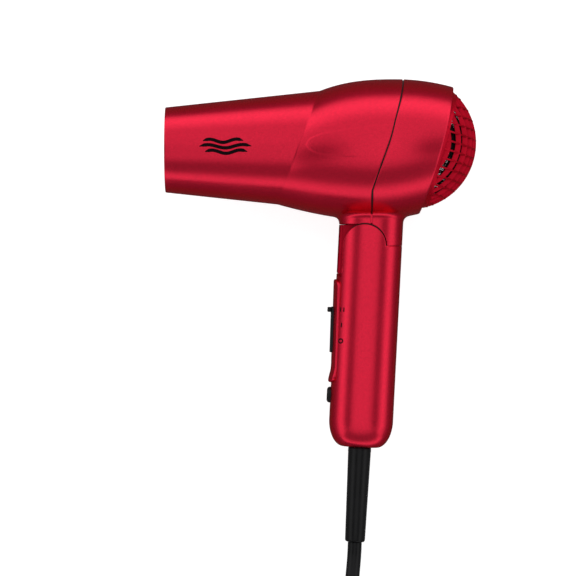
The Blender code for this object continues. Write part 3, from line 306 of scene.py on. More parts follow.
def join_meshes(*shapes):
    """One mesh of several (points, faces) shapes."""
    points, faces = [], []
    for shape_points, shape_faces in shapes:
        start = len(points)
        points += [tuple(point) for point in shape_points]
        faces += [tuple(start + i for i in face) for face in shape_faces]
    mesh = bpy.data.meshes.new("shape")
    mesh.from_pydata(points, [], faces)
    mesh.validate()
    return mesh


def grid(points, wrap=False):
    """A shape of quads through points (rows, columns, 3); wrap joins the last column to the first."""
    rows, columns = points.shape[:2]
    faces = []
    for row in range(rows - 1):
        for column in range(columns if wrap else columns - 1):
            a, b = row * columns + column, row * columns + (column + 1) % columns
            faces.append((a, b, b + columns, a + columns))
    return points.reshape(-1, 3), faces


def capped(points):
    """A wrapped grid closed with a face at each end."""
    flat, faces = grid(points, True)
    rows, columns = points.shape[:2]
    faces.append(tuple(range(columns))[::-1])
    faces.append(tuple((rows - 1) * columns + i for i in range(columns)))
    return flat, faces


def revolve(profile, count=64):
    """A profile of (radius, height) points turned about z; a radius of 0 closes an end."""
    angles = np.linspace(0, 2 * math.pi, count, endpoint=False)
    profile = np.array(profile, float)
    points = np.zeros((len(profile), count, 3))
    points[..., 0] = profile[:, :1] * np.cos(angles)
    points[..., 1] = profile[:, :1] * np.sin(angles)
    points[..., 2] = profile[:, 1:]
    return grid(points, True)


def moved(shape, matrix):
    points, faces = shape
    matrix = np.array(matrix)
    return np.asarray(points, float) @ matrix[:3, :3].T + matrix[:3, 3], faces


def piece(name, mesh, material, body, stands_for=(), matrix=REST, crease=40):
    """Puts a mesh in the row frame, gives it its finish and lets it ride on a CAD body."""
    obj = new_object(name, mesh)
    if isinstance(mesh, bpy.types.Mesh):
        mesh.transform(matrix)
        tidy_normals(mesh)
        mesh.shade_smooth()
        mesh.set_sharp_from_angle(angle=math.radians(crease))
    mesh.materials.clear()
    mesh.materials.append(material)
    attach(obj, body)
    if stands_for:
        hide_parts(*stands_for)
    return obj


def opened(*meshes):
    bm = bmesh.new()
    for mesh in meshes:
        bm.from_mesh(mesh)
    return bm


def closed(bm, mesh=None):
    mesh = mesh or bpy.data.meshes.new("shape")
    bm.to_mesh(mesh)
    bm.free()
    return mesh


def merge_meshes(*meshes):
    return closed(opened(*meshes))


def tidy_normals(mesh):
    bm = opened(mesh)
    bmesh.ops.remove_doubles(bm, verts=bm.verts, dist=1e-7)
    bmesh.ops.recalc_face_normals(bm, faces=bm.faces)
    closed(bm, mesh)


def modified(mesh, kind, **settings):
    """The mesh with a modifier applied."""
    obj = new_object("modified", mesh)
    modifier = obj.modifiers.new(kind, kind)
    for name, value in settings.items():
        setattr(modifier, name, value)
    bpy.context.view_layer.update()
    graph = bpy.context.evaluated_depsgraph_get()
    result = bpy.data.meshes.new_from_object(obj.evaluated_get(graph))
    bpy.data.objects.remove(obj)
    return result


def combined(mesh, other, operation="DIFFERENCE"):
    """The mesh less another closed one, or what both have in common."""
    tidy_normals(mesh)
    tidy_normals(other)
    tool = new_object("tool", other)
    result = modified(mesh, "BOOLEAN", operation=operation, solver="EXACT", object=tool)
    bpy.data.objects.remove(tool)
    return result


def bevelled(mesh, width, segments=3, angle=35):
    return modified(mesh, "BEVEL", width=width, segments=segments, angle_limit=math.radians(angle))


def box_shape(low, high):
    corners = [(x, y, z) for x in (low[0], high[0]) for y in (low[1], high[1]) for z in (low[2], high[2])]
    faces = [(0, 1, 3, 2), (4, 6, 7, 5), (0, 4, 5, 1), (2, 3, 7, 6), (0, 2, 6, 4), (1, 5, 7, 3)]
    return np.array(corners), faces


def arc(radius, start, end, count):
    angles = np.radians(np.linspace(start, end, count + 1))
    return [(radius * math.cos(a), radius * math.sin(a)) for a in angles]


def rounded_rectangle(low, high, corner, count=8):
    right, left = high[0] - corner, low[0] + corner
    top, bottom = high[1] - corner, low[1] + corner
    centres = ((right, top, 0), (left, top, 90), (left, bottom, 180), (right, bottom, 270))
    outline = []
    for x, y, start in centres:
        outline += [(x + dx, y + dy) for dx, dy in arc(corner, start, start + 90, count)]
    return outline


def prism(outline, low, high):
    rings = np.array([[(x, y, z) for x, y in outline] for z in (low, high)])
    return capped(rings)


def smooth_path(points, per_span):
    """Points along a smooth curve through the given ones (Catmull-Rom)."""
    points = [Vector(p) for p in points]
    padded = [2 * points[0] - points[1], *points, 2 * points[-1] - points[-2]]
    path = []
    for a, b, c, d in zip(padded, padded[1:], padded[2:], padded[3:]):
        for step in range(per_span):
            t = step / per_span
            path.append(0.5 * (2 * b + (c - a) * t + (2 * a - 5 * b + 4 * c - d) * t ** 2
                               + (3 * b - a - 3 * c + d) * t ** 3))
    return [*path, points[-1]]


def smooth_line(points, per_span):
    """The same for (x, y) points, as an array."""
    return np.array([tuple(p)[:2] for p in smooth_path([(x, y, 0) for x, y in points], per_span)])


def smooth_step(value):
    value = np.clip(value, 0, 1)
    return value * value * (3 - 2 * value)


def polyline_distance(points, line):
    """Distance of 2-D points from a polyline."""
    best = np.full(points.shape[:-1], 1e9)
    line = np.array(line, float)
    for start, end in zip(line, line[1:]):
        way = end - start
        share = np.clip(((points - start) @ way) / max(way @ way, 1e-18), 0, 1)
        gap = points - start - share[..., None] * way
        best = np.minimum(best, np.hypot(gap[..., 0], gap[..., 1]))
    return best


def rounding(distance, radius):
    """How deep a rounded edge lies at a distance from its border."""
    left = np.clip(radius - distance, 0, radius)
    return radius - np.sqrt(radius ** 2 - left ** 2)


# Camera and light


def make_camera():
    camera = new_object("camera", bpy.data.cameras.new("camera"))
    out = REST.to_3x3() @ Vector((0, 0, 1))
    camera.matrix_world = at(*(REST @ Vector(AIM) + out * VIEW_DISTANCE), TILT, "X")
    camera.data.sensor_width = 36
    camera.data.lens = 36 * VIEW_DISTANCE / VIEW_WIDTH
    camera.data.clip_start = 0.05
    bpy.context.scene.camera = camera


def make_key_light():
    """One softbox over the dryer, aimed at its barrel."""
    data = bpy.data.lights.new("key", "AREA")
    data.shape = "RECTANGLE"
    data.size = data.size_y = 0.7
    data.energy = 3
    light = new_object("key", data)
    azimuth, elevation = math.radians(120), math.radians(70)
    level = math.cos(elevation)
    way = Vector((math.cos(azimuth) * level, math.sin(azimuth) * level, math.sin(elevation)))
    light.location = Vector((0, 0.02, 0.03)) + way * 1.8
    light.rotation_euler = way.to_track_quat("Z", "Y").to_euler()
    light.visible_glossy = False


# Grey of the sky over the cosine of the angle from the camera's side
SIDE_SKY = ((-1.0, 0.12), (-0.15, 0.14), (0.02, 0.45), (0.14, 0.8), (0.3, 0.7), (0.5, 0.2), (0.78, 0.18),
            (0.92, 0.56), (1.0, 0.62))
END_SKY = ((-1.0, 0.1), (-0.3, 0.13), (0.05, 0.22), (0.35, 0.66), (0.56, 0.82), (0.72, 0.5), (0.82, 0.18),
           (0.925, 0.13), (0.97, 0.56), (1.0, 0.68))
TOP_SKY = ((-1.0, 0.12), (-0.2, 0.15), (-0.02, 0.8), (0.15, 1.0), (0.35, 0.86), (0.62, 0.52), (0.92, 0.6),
           (1.0, 0.62))
SKY_STRENGTH = 1.5


def sky_ramp(tree, factor, stops):
    return ramp(tree, factor, [((cosine + 1) / 2, (grey, grey, grey)) for cosine, grey in stops])


def calculated(tree, operation, *values):
    return add_node(tree, "ShaderNodeMath", 0, dict(enumerate(values)), operation=operation)


def mixed(tree, factor, low, high):
    return add_node(tree, "ShaderNodeMix", 2, {"Factor": factor, 6: low, 7: high}, data_type="RGBA")


def dot_with(tree, vector, way):
    return add_node(tree, "ShaderNodeVectorMath", "Value", {0: vector, 1: way}, operation="DOT_PRODUCT")


def make_world():
    """A studio of soft panels: one overhead, a dark gap round it, a bright one low all round."""
    world = bpy.data.worlds.new("studio")
    bpy.context.scene.world = world
    world.use_nodes = True
    tree = world.node_tree
    place = add_node(tree, "ShaderNodeTexCoord", "Generated", {})
    turn = REST.to_3x3()
    depth = mapped(tree, dot_with(tree, place, turn @ Vector((0, 0, 1))), (-1, 1))
    sideways = calculated(tree, "ABSOLUTE", dot_with(tree, place, Vector((1, 0, 0))))
    upwards = dot_with(tree, place, turn @ Vector((0, 1, 0)))
    ends = calculated(tree, "SUBTRACT", sideways, calculated(tree, "ABSOLUTE", upwards))
    low = mixed(tree, mapped(tree, ends, (0.0, 0.25)), sky_ramp(tree, depth, SIDE_SKY),
                sky_ramp(tree, depth, END_SKY))
    sky = mixed(tree, mapped(tree, upwards, (0.05, 0.55)), low, sky_ramp(tree, depth, TOP_SKY))
    feed(tree, tree.nodes["Background"], {"Strength": SKY_STRENGTH, "Color": sky})


def make_floor():
    mesh = join_meshes(box_shape((-6, -6, -0.02), (6, 6, -0.0001)))
    floor = new_object("floor", mesh)
    material, tree, shader = nodes_of("pale_floor")
    feed(tree, shader, {"Base Color": (0.45, 0.45, 0.45, 1), "Roughness": 0.9, "Specular IOR Level": 0.1,
                        "Emission Color": (1, 1, 1, 1), "Emission Strength": 0.85})
    mesh.materials.append(material)
    floor.visible_glossy = False


def make_studio():
    bpy.context.scene.view_settings.view_transform = "Standard"
    make_world()
    make_floor()
    make_key_light()


# Cord


def relief_exit():
    return GRIP @ Vector((0, RELIEF_END, 0)), (GRIP.to_3x3() @ Vector((0, -1, 0))).normalized()


def lead_points(tip, way, middle):
    x, y = tip.x, tip.y
    return [tip + way * 0.0003, tip + way * 0.008,
            (x - 0.0016, y - 0.022, CORD_FLOOR + 0.0014), (x - 0.0016, y - 0.033, CORD_FLOOR + 0.0001),
            (x - 0.0008, y - 0.043, CORD_FLOOR), (x - 0.0002, middle.y + 0.03, CORD_FLOOR),
            (x, middle.y + 0.015, CORD_FLOOR - 0.0002)]


def coil_points(middle):
    """Three turns inwards on the floor, then three and a quarter outwards on top of them."""
    outer = TURN_RADIUS + TURN_STEP
    low = CORD_RADIUS + COIL_LIFT
    per_turn = 48
    points = []
    for step in range(int(6.25 * per_turn) + 1):
        turns = step / per_turn
        inwards = min(turns, 2) - min(max(turns - 3, 0), 2)
        radius = outer - TURN_STEP * inwards
        rise = LAYER_STEP * float(smooth_step((turns - 2.0) / 1.0))
        angle = -2 * math.pi * turns
        points.append((middle.x + radius * math.cos(angle), middle.y + radius * math.sin(angle), low + rise))
    return points


def tail_points(middle):
    outer = TURN_RADIUS + TURN_STEP
    x, y = middle.x, middle.y
    height = PLUG_SIZE[2] / 2 + COIL_LIFT
    plug_x, plug_y = x - 0.077, y - 0.023
    return [(x - 0.012, y - outer - 0.0013, 0.0106), (x - 0.0245, y - outer - 0.0059, 0.01),
            (x - 0.037, y - outer - 0.0105, 0.0065), (x - 0.049, y - outer - 0.0118, CORD_FLOOR),
            (plug_x + 0.014, y - 0.0573, CORD_FLOOR), (plug_x + 0.0038, y - 0.047, CORD_FLOOR + 0.0012),
            (plug_x, plug_y - 0.01, height - 0.0017), (plug_x, plug_y - 0.0006, height)]


def make_cord():
    tip, way = relief_exit()
    middle = Vector((tip.x + COIL_CENTRE[0], tip.y + COIL_CENTRE[1], 0))
    lead = smooth_path([*lead_points(tip, way, middle), coil_points(middle)[0]], 6)
    tail = smooth_path([coil_points(middle)[-1], *tail_points(middle)], 6)
    path = [*lead, *coil_points(middle)[1:], *tail[1:]]
    curve = bpy.data.curves.new("cord", "CURVE")
    curve.dimensions = "3D"
    curve.bevel_depth = CORD_RADIUS
    curve.bevel_resolution = 5
    curve.use_fill_caps = True
    spline = curve.splines.new("POLY")
    spline.points.add(len(path) - 1)
    for point, place in zip(spline.points, path):
        point.co = (*place, 1.0)
    spline.use_smooth = True
    cord = piece("cord_lead", curve, SHEATH, "handle", ("cord", "cord_coil", "cord_tail"),
                 Matrix())
    tie = make_tie(middle)
    plug = make_plug(Vector(tail_points(middle)[-1]) + Vector((0, 0.0006, 0)))
    relief = make_relief()


def make_relief():
    """The plain tapered sleeve, with a small collar where it meets the handle."""
    wide, narrow = RELIEF_RADII
    start = STEM_LENGTH + 0.0003
    end = -RELIEF_END
    profile = [(0.0, start - 0.004), (0.0044, start - 0.004), (0.0044, start), (wide - 0.0001, start),
               (wide, start + 0.0002), (wide + 0.0001, start + 0.002), (wide - 0.00005, start + 0.0024)]
    profile += [(wide + (narrow - wide) * t, start + 0.0024 + (end - start - 0.0034) * t)
                for t in np.linspace(0.02, 1, 12)]
    profile += [(narrow - 0.0002, end - 0.0004), (narrow - 0.0007, end - 0.00005), (0.0036, end), (0.0, end)]
    mesh = join_meshes(revolve(profile, 72))
    matrix = GRIP @ at(0, 0, 0, math.pi / 2, "X")
    return piece("relief_sleeve", mesh, SHEATH, "handle", ("strain_relief",), matrix)


def make_tie(middle):
    """A strap round the coil with a small buckle on top."""
    reach = TURN_STEP + CORD_RADIUS + 0.0003
    thick, half = 0.0012, 0.004
    top = 4 * CORD_RADIUS + COIL_LIFT + 0.0003
    rows = []
    steps = ((0.0, half - 0.0002), (0.0001, half), (thick - 0.0003, half), (thick, half - 0.0003))
    for inset, width in steps:
        outline = rounded_rectangle((TURN_RADIUS - reach - inset, 0.0001 + thick - inset),
                                    (TURN_RADIUS + reach + inset, top + inset), 0.003 + inset)
        rows.append((outline, width))
    rows = [(outline, -width) for outline, width in rows[::-1]] + rows
    rows += [(rows[-1][0], y) for y in np.linspace(half - 0.0003, -half + 0.0003, 9)]
    strap = join_meshes(grid(np.array([[(x, y, z) for x, z in outline] for outline, y in rows]), True))
    buckle = box_shape((TURN_RADIUS - 0.005, -half - 0.0008, top + thick - 0.0001),
                       (TURN_RADIUS + 0.005, half + 0.0008, top + thick + 0.0011))
    mesh = merge_meshes(strap, bevelled(join_meshes(buckle), 0.0005))
    return piece("strap_tie", mesh, BLACK, "handle", ("cord_tie",), at(*middle, TIE_ANGLE))


def make_plug(tip):
    """Relief with rings, body with a parting line and grip ribs, drilled blades, two buttons."""
    relief = 0.022
    profile = [(0.0, 0.0), (0.0038, 0.0), (0.0045, 0.0004)]
    for ring in range(6):
        start = 0.001 + ring * 0.0034
        width = 0.0047 + 0.0021 * ring / 6
        profile += [(width, start), (width + 0.0002, start + 0.0003), (width + 0.0003, start + 0.0019),
                    (width + 0.0001, start + 0.0022), (width - 0.0006, start + 0.0024),
                    (width - 0.0006, start + 0.0032)]
    profile += [(0.0068, relief - 0.0004), (0.0068, relief + 0.0004), (0.0, relief + 0.0004)]
    mesh = join_meshes(revolve(profile, 64))
    base = at(tip.x, tip.y + relief + 0.0003, COIL_LIFT)
    pieces = [piece("plug_boot", mesh, SHEATH, "handle", ("plug_relief",), at(*tip, -math.pi / 2, "X")),
              piece("plug_case", plug_case(), BLACK, "handle", ("plug_body",), base),
              make_blade(1, -BLADE_APART / 2, 0.0016, base), make_blade(2, BLADE_APART / 2, 0.0, base)]
    reset_y, test_y = PLUG_BUTTON_Y
    return [*pieces, make_plug_button("reset_button", reset_y, RESET, base),
            make_plug_button("test_button", test_y, GREY, base)]


def plug_case():
    width, length, height = PLUG_SIZE
    rows = []
    levels = [(0.0, 0.002), (0.0003, 0.001), (0.001, 0.0003), (0.002, 0.0), (0.0096, 0.0),
              (0.0098, 0.0003), (0.0102, 0.0003), (0.0104, 0.0), (0.018, 0.0), (0.019, 0.0003),
              (0.0197, 0.001), (0.02, 0.002)]
    for z, inset in levels:
        outline = rounded_rectangle((-width / 2 + inset, inset), (width / 2 - inset, length - inset),
                                    PLUG_CORNER - inset, 10)
        rows.append([(x, y, z) for x, y in outline])
    mesh = join_meshes(capped(np.array(rows)))
    half_x, half_y, _ = PLUG_BUTTON
    gap = 0.0003
    wells = [box_shape((-half_x - gap, y - half_y - gap, height - 0.004),
                       (half_x + gap, y + half_y + gap, height + 0.001)) for y in PLUG_BUTTON_Y]
    grooves = [box_shape((side * width / 2 - 0.0005, 0.007 + 0.0022 * i, 0.0045),
                         (side * width / 2 + 0.0005, 0.008 + 0.0022 * i, 0.0155))
               for side in (-1, 1) for i in range(6)]
    return combined(combined(mesh, join_meshes(*wells)), join_meshes(*grooves))


def make_blade(number, x, extra, base):
    thick, reach, tall = 0.0016, 0.018, 0.0064 + extra
    length, middle = PLUG_SIZE[1], PLUG_SIZE[2] / 2
    shape = box_shape((x - thick / 2, length - 0.002, middle - tall / 2),
                      (x + thick / 2, length + reach, middle + tall / 2))
    turn = np.linspace(0, 2 * math.pi, 32, endpoint=False)
    hole = prism(0.0016 * np.stack([np.cos(turn), np.sin(turn)], -1), -0.002, 0.002)
    hole = moved(hole, at(x, length + reach - 0.0045, middle, math.pi / 2, "Y"))
    mesh = bevelled(combined(join_meshes(shape), join_meshes(hole)), 0.0003, 2, 60)
    return piece(f"blade_{number}", mesh, BRASS, "handle", (f"plug_blade_{number}",), base)


def make_plug_button(name, y, material, base):
    """A rounded key with two grip bars on top."""
    half_x, half_y, deep = PLUG_BUTTON
    top = PLUG_SIZE[2] + 0.0014
    key = bevelled(join_meshes(box_shape((-half_x, y - half_y, top - deep), (half_x, y + half_y, top))),
                   0.0006)
    bars = [box_shape((-0.003, y + dy - 0.0004, top - 0.0002), (0.003, y + dy + 0.0004, top + 0.0002))
            for dy in (-0.0012, 0.0012)]
    bars = bevelled(join_meshes(*bars), 0.00015)
    return piece(f"{name}_key", merge_meshes(key, bars), material, name, (name,), base)


# The barrel's surface


def outline_height(x, peak, front, rear):
    ahead = x < peak[0]
    reach = np.where(ahead, front[0], rear[0])
    change = np.where(ahead, front[1], rear[1])
    power = np.where(ahead, front[2], rear[2])
    return peak[1] + change * (np.abs(x - peak[0]) / reach) ** power


def nozzle_points(share, angle, grow=0.0):
    """Points on the cone at a share of the way from the outlet to the crease."""
    share, angle = np.broadcast_arrays(np.asarray(share, float), angle)
    radius = CREASE_RADIUS / (1 - NOZZLE_SLOPE * CREASE_LEAN * np.sin(angle))
    x = OUTLET_X + (CREASE_X + CREASE_LEAN * radius * np.sin(angle) - OUTLET_X) * share
    radius = OUTLET_RADIUS + (radius - OUTLET_RADIUS) * share + grow
    return xyz(x, BARREL_Y + radius * np.sin(angle), radius * np.cos(angle))


def body_points(share, angle, grow=0.0):
    """Points on the body at a share of the way from the crease to the rim."""
    share, angle = np.broadcast_arrays(np.asarray(share, float), angle)
    x = CREASE_X + (RIM_X - CREASE_X) * share
    lean = CREASE_LEAN + (RIM_LEAN - CREASE_LEAN) * share
    top = np.full(share.shape, BARREL_Y)
    bottom = top.copy()
    for _ in range(10):
        top = outline_height(x + lean * (top - BARREL_Y), TOP_PEAK, TOP_FRONT, TOP_REAR)
        bottom = outline_height(x + lean * (bottom - BARREL_Y), BOTTOM_PEAK, BOTTOM_FRONT, BOTTOM_REAR)
    centre, radius = (top + bottom) / 2, (top - bottom) / 2
    across = radius * (1 + share * (np.hypot(1, lean) - 1))
    y = centre + (radius + grow) * np.sin(angle)
    bulge = RIM_BULGE * share ** 2 * np.cos(angle) ** 2
    return xyz(x + lean * (y - BARREL_Y) + bulge, y, (across + grow) * np.cos(angle))


SEAM_LINE = smooth_line(SEAM, 12)


def seam_x(y):
    return np.interp(y, SEAM_LINE[:, 1], SEAM_LINE[:, 0])


def seam_share(angle):
    low, high = np.zeros_like(angle), np.ones_like(angle)
    for _ in range(40):
        middle = (low + high) / 2
        point = body_points(middle, angle)
        ahead = point[..., 0] < seam_x(point[..., 1])
        low, high = np.where(ahead, middle, low), np.where(ahead, high, middle)
    return (low + high) / 2


ANGLES = np.linspace(0, 2 * math.pi, 480, endpoint=False)
SHARE_PER_METRE = 1 / (RIM_X - CREASE_X)
SEAM_EDGE = ((0.0005, 0.0), (0.0003, 0.00002), (0.00016, 0.00007), (0.00006, 0.00015), (0.0, 0.00028),
             (0.0, 0.0016))


def panel_rise(points):
    """The raised teardrop on both sides of the front housing."""
    flat = points[..., :2]
    line = smooth_line(PANEL, 6)
    distance = polyline_distance(flat, line)
    tip = line[:, 0].argmin()
    lower = np.interp(flat[..., 0], line[:tip + 1, 0][::-1], line[:tip + 1, 1][::-1])
    upper = np.interp(flat[..., 0], line[tip:, 0], line[tip:, 1])
    inside = (flat[..., 1] > lower) & (flat[..., 1] < upper) & (flat[..., 0] > line[tip, 0])
    signed = np.where(inside, distance, -distance)
    rise = smooth_step(signed / PANEL_SOFT + 0.35)
    low_side = np.abs(flat[..., 1] - lower) < np.abs(flat[..., 1] - upper)
    fade = np.where(low_side, 1 - smooth_step((flat[..., 0] + 0.008) / 0.011), 1.0)
    below = smooth_step((flat[..., 1] - lower + PANEL_SOFT) / 0.013)
    soft = np.where(low_side, rise * fade + (1 - fade) * below, rise)
    return PANEL_RISE * soft


def panelled(share, fade=1.0, depth=0.0):
    """The body's surface with the raised teardrop, less a depth."""
    rise = panel_rise(body_points(share, ANGLES)) * fade
    return body_points(share, ANGLES, rise - depth)


def front_rows():
    """Rows of the front housing from inside the outlet to the seam."""
    inner = -WALL
    rows = [nozzle_points(0, ANGLES, grow) + (dx, 0, 0) for dx, grow in (
        (0.05, inner + 0.005), (0.0012, inner), (0.0005, inner + 0.00015), (0.0001, inner + 0.0005),
        (0.0, -0.0008), (0.0, -0.00016), (0.00005, -0.00005), (0.00016, 0.0))]
    rows += [nozzle_points(share, ANGLES)
             for share in (0.012, 0.05, *np.linspace(0.1, 0.95, 12), 0.975, 0.988, 0.996)]
    end = seam_share(ANGLES) - SEAM_HALF * SHARE_PER_METRE
    start = end - SEAM_EDGE[0][0] * SHARE_PER_METRE
    rows += [panelled(start * step, smooth_step(step * 12)) for step in np.linspace(0.002, 1, 110)]
    rows += [panelled(end - inset * SHARE_PER_METRE, 1.0, depth) for inset, depth in SEAM_EDGE]
    return np.array(rows)


def rear_rows():
    """Rows of the rear housing from the seam to inside the rim."""
    begin = seam_share(ANGLES) + SEAM_HALF * SHARE_PER_METRE
    rows = [panelled(begin + inset * SHARE_PER_METRE, 1 - inset / PANEL_FADE[0], depth)
            for inset, depth in SEAM_EDGE[::-1]]
    start = begin + SEAM_EDGE[0][0] * SHARE_PER_METRE
    for step in np.linspace(0.02, 1, 44):
        share = start + (0.994 - start) * step
        fade = 1 - smooth_step((share - begin) / (PANEL_FADE[1] * SHARE_PER_METRE))
        rows.append(panelled(share, fade * (1 - SEAM_EDGE[0][0] / PANEL_FADE[0])))
    rows += [body_points(1.0, ANGLES, grow) + (dx, 0, 0) for dx, grow in (
        (-0.0002, 0.0), (0.0, -0.00006), (0.00015, -0.00022), (0.0002, -0.0005), (0.0002, -0.0013),
        (0.0, -0.0018), (-0.005, -0.0022))]
    return np.array(rows)


def seam_shade_rows():
    """A lip that closes the seam from behind, black as painted shade for the dark depth of the seam."""
    seam = seam_share(ANGLES)
    rows = [body_points(seam + dx * SHARE_PER_METRE, ANGLES, grow) for dx, grow in (
        (-0.0025, -0.0022), (-0.0025, -0.0018), (-0.00028, -0.0018), (-0.00028, -0.0005),
        (0.00028, -0.0005), (0.00028, -0.0018), (0.0025, -0.0018), (0.0025, -0.0022))]
    return np.array(rows)


# The stem's surface


def stem_section(angle, grow_x=0.0, grow_z=0.0):
    c, s = np.cos(angle), np.sin(angle)
    x = (STEM_WIDTH / 2 + grow_x) * np.sign(c) * np.abs(c) ** (2 / STEM_POWER)
    z = (STEM_DEPTH / 2 + grow_z) * np.sign(s) * np.abs(s) ** (2 / STEM_POWER)
    return x, z


def to_way(x, y, z):
    """A direction given in grip coordinates, in the design frame."""
    c, s = math.cos(-STEM_LEAN), math.sin(-STEM_LEAN)
    return xyz(x * c - y * s, x * s + y * c, z)


def to_design(x, y, z):
    """Grip coordinates in the design frame."""
    return to_way(x, y, z) + (STEM_X, 0, 0)


def grip_height(design_y, x):
    """The grip frame's y where a column at grip x reaches a design height."""
    return (design_y - x * math.sin(-STEM_LEAN)) / math.cos(-STEM_LEAN)


def stem_partner(value, reach, other):
    """The section's other coordinate, from one of them and both half widths."""
    return other * (1 - np.minimum(np.abs(value) / reach, 1) ** STEM_POWER) ** (1 / STEM_POWER)


STEM_ANGLES = np.linspace(0, 2 * math.pi, 640, endpoint=False)


def neck_line():
    """The neck's lower border in side view."""
    reach = CHEEK_RADIUS + NECK_GAP
    start = math.degrees(math.asin(NECK_EDGE_Y / reach))
    return [(-0.04, NECK_EDGE_Y), *arc(reach, 180 - start, 0, 60), (0.04, NECK_GAP - JOINT_GAP)]


def handle_line():
    """The handle's upper border in side view: the round cheek and the step in front of it."""
    return [(0.04, -JOINT_GAP), *arc(CHEEK_RADIUS, -1.9, 182, 90), (-0.0111, -0.0125), (-0.0117, -0.0136),
            (-0.014, CHEEK_STEP_Y), (-0.015, -0.0134), (-0.016, -0.013), (-0.04, -0.013)]


def border_height(x, line):
    line = sorted(line)
    return np.interp(x, [p[0] for p in line], [p[1] for p in line])


def column_border(x, line):
    """The grip height at which each column meets a border line."""
    height = np.zeros_like(x)
    for _ in range(12):
        design = to_design(x, height, 0 * x)
        height = grip_height(border_height(design[..., 0], line), x)
    return height


def surface_inwards(x, z):
    """Unit inward directions of the section."""
    nx = np.sign(x) * (np.abs(x) / (STEM_WIDTH / 2)) ** (STEM_POWER - 1) / (STEM_WIDTH / 2)
    nz = np.sign(z) * (np.abs(z) / (STEM_DEPTH / 2)) ** (STEM_POWER - 1) / (STEM_DEPTH / 2)
    size = np.maximum(np.hypot(nx, nz), 1e-9)
    return -nx / size, -nz / size


def neck_rows(barrel):
    """From the neck's lower border up to its fillet with the barrel."""
    x, z = stem_section(STEM_ANGLES)
    wide_x, wide_z = stem_section(STEM_ANGLES, NECK_FILLET, NECK_FILLET)
    low = column_border(x, neck_line())
    meet = barrel_height(barrel, x, z)
    outside = barrel_height(barrel, wide_x, wide_z)
    in_x, in_z = surface_inwards(x, z)
    rows = [(x, low + step, z) for step in (0.0, 0.0, 0.00008, 0.00018, 0.0003, 0.00045)]
    rows += [(x, low + 0.00045 + (meet - NECK_FILLET - low - 0.00045) * step, z)
             for step in np.linspace(0.08, 1, 14)]
    rows = [edge_rounded(row, in_x, in_z, neck_line()) for row in rows]
    rows[0] = rows[1] + 0.0016 * to_way(in_x, 0, in_z)
    for t in np.linspace(0.1, 1, 12):
        a, b, c = (1 - t) ** 2, 2 * t * (1 - t), t * t
        height = a * (meet - NECK_FILLET) + b * meet + c * (outside - 0.00001)
        rows.append(to_design((a + b) * x + c * wide_x, height, (a + b) * z + c * wide_z))
    return np.array(rows)


def edge_rounded(row, in_x, in_z, line, radius=EDGE):
    x, height, z = row
    points = to_design(x, height, z)
    depth = rounding(polyline_distance(points[..., :2], line), radius)
    return points + depth[..., None] * to_way(in_x, 0, in_z)


def barrel_height(barrel, x, z):
    """The grip height at which columns going up from the neck meet the barrel."""
    way = TO_GRIP.to_3x3() @ Vector((0, 1, 0))
    hits = [barrel.ray_cast(TO_GRIP @ Vector((one_x, 0.004, one_z)), way) for one_x, one_z in zip(x, z)]
    return np.array([0.004 + hit[3] for hit in hits])


def make_housings():
    outer = np.array([body_points(s, ANGLES) for s in np.linspace(0, 1, 90)])
    points, faces = grid(outer, True)
    barrel = BVHTree.FromPolygons([Vector(p) for p in points], faces)
    neck = neck_rows(barrel)
    sleeve_x, sleeve_z = stem_section(STEM_ANGLES, -0.0009, -0.0009)
    low = column_border(sleeve_x, neck_line()) + 0.0006
    sleeve = np.array([to_design(sleeve_x, low + (0.02 - low) * t, sleeve_z) for t in (0, 0.5, 1)])
    neck_mesh = join_meshes(grid(neck, True))
    front = merge_meshes(join_meshes(grid(front_rows(), True), grid(sleeve, True)), neck_half(neck_mesh, -1))
    rear = merge_meshes(join_meshes(grid(rear_rows(), True)), neck_half(neck_mesh, 1))
    piece("front_shell", front, LACQUER, "head", ("front_housing",))
    piece("rear_shell", rear, LACQUER, "head", ("rear_housing",))
    # The black lip behind the seam is painted shade.
    piece("seam_shade_lip", join_meshes(grid(seam_shade_rows(), True)), BLACK, "head")


def neck_half(mesh, side):
    """The neck on one side of the seam, its cut border turned inwards."""
    bm = opened(mesh)
    low, high = Vector((*SEAM[0], 0)), Vector((*SEAM[2], 0))
    along = (high - low).normalized()
    across = Vector((along.y, -along.x, 0))
    parts = bm.verts[:] + bm.edges[:] + bm.faces[:]
    bmesh.ops.bisect_plane(bm, geom=parts, plane_co=low + across * side * (SEAM_HALF + 0.00025),
                           plane_no=across * side, clear_inner=True)
    border = [e for e in bm.edges if e.is_boundary and near_plane(e, low, across, side)]
    for shift, depth in ((0.00017, 0.0001), (0.00008, 0.00025), (0.0, 0.0013)):
        made = bmesh.ops.extrude_edge_only(bm, edges=border)["geom"]
        border = [g for g in made if isinstance(g, bmesh.types.BMEdge)]
        for vert in {v for e in border for v in e.verts}:
            inwards = Vector((0, 0, -math.copysign(1, vert.co.z)))
            vert.co += inwards * depth - across * side * shift
    return closed(bm)


def near_plane(edge, low, across, side):
    limit = SEAM_HALF + 0.00026
    return all(abs((v.co - low).dot(across) * side) < limit for v in edge.verts)


# Intake grille


GRILLE = REST @ at(GRILLE_X, BARREL_Y, 0, -GRILLE_LEAN)
SPHERE = (GRILLE_RADIUS ** 2 + GRILLE_HEIGHT ** 2) / (2 * GRILLE_HEIGHT)


def dome(across, along):
    """Height of the dome's outside over its base plane."""
    return GRILLE_HEIGHT - SPHERE + np.sqrt(np.maximum(SPHERE ** 2 - across ** 2 - along ** 2, 0))


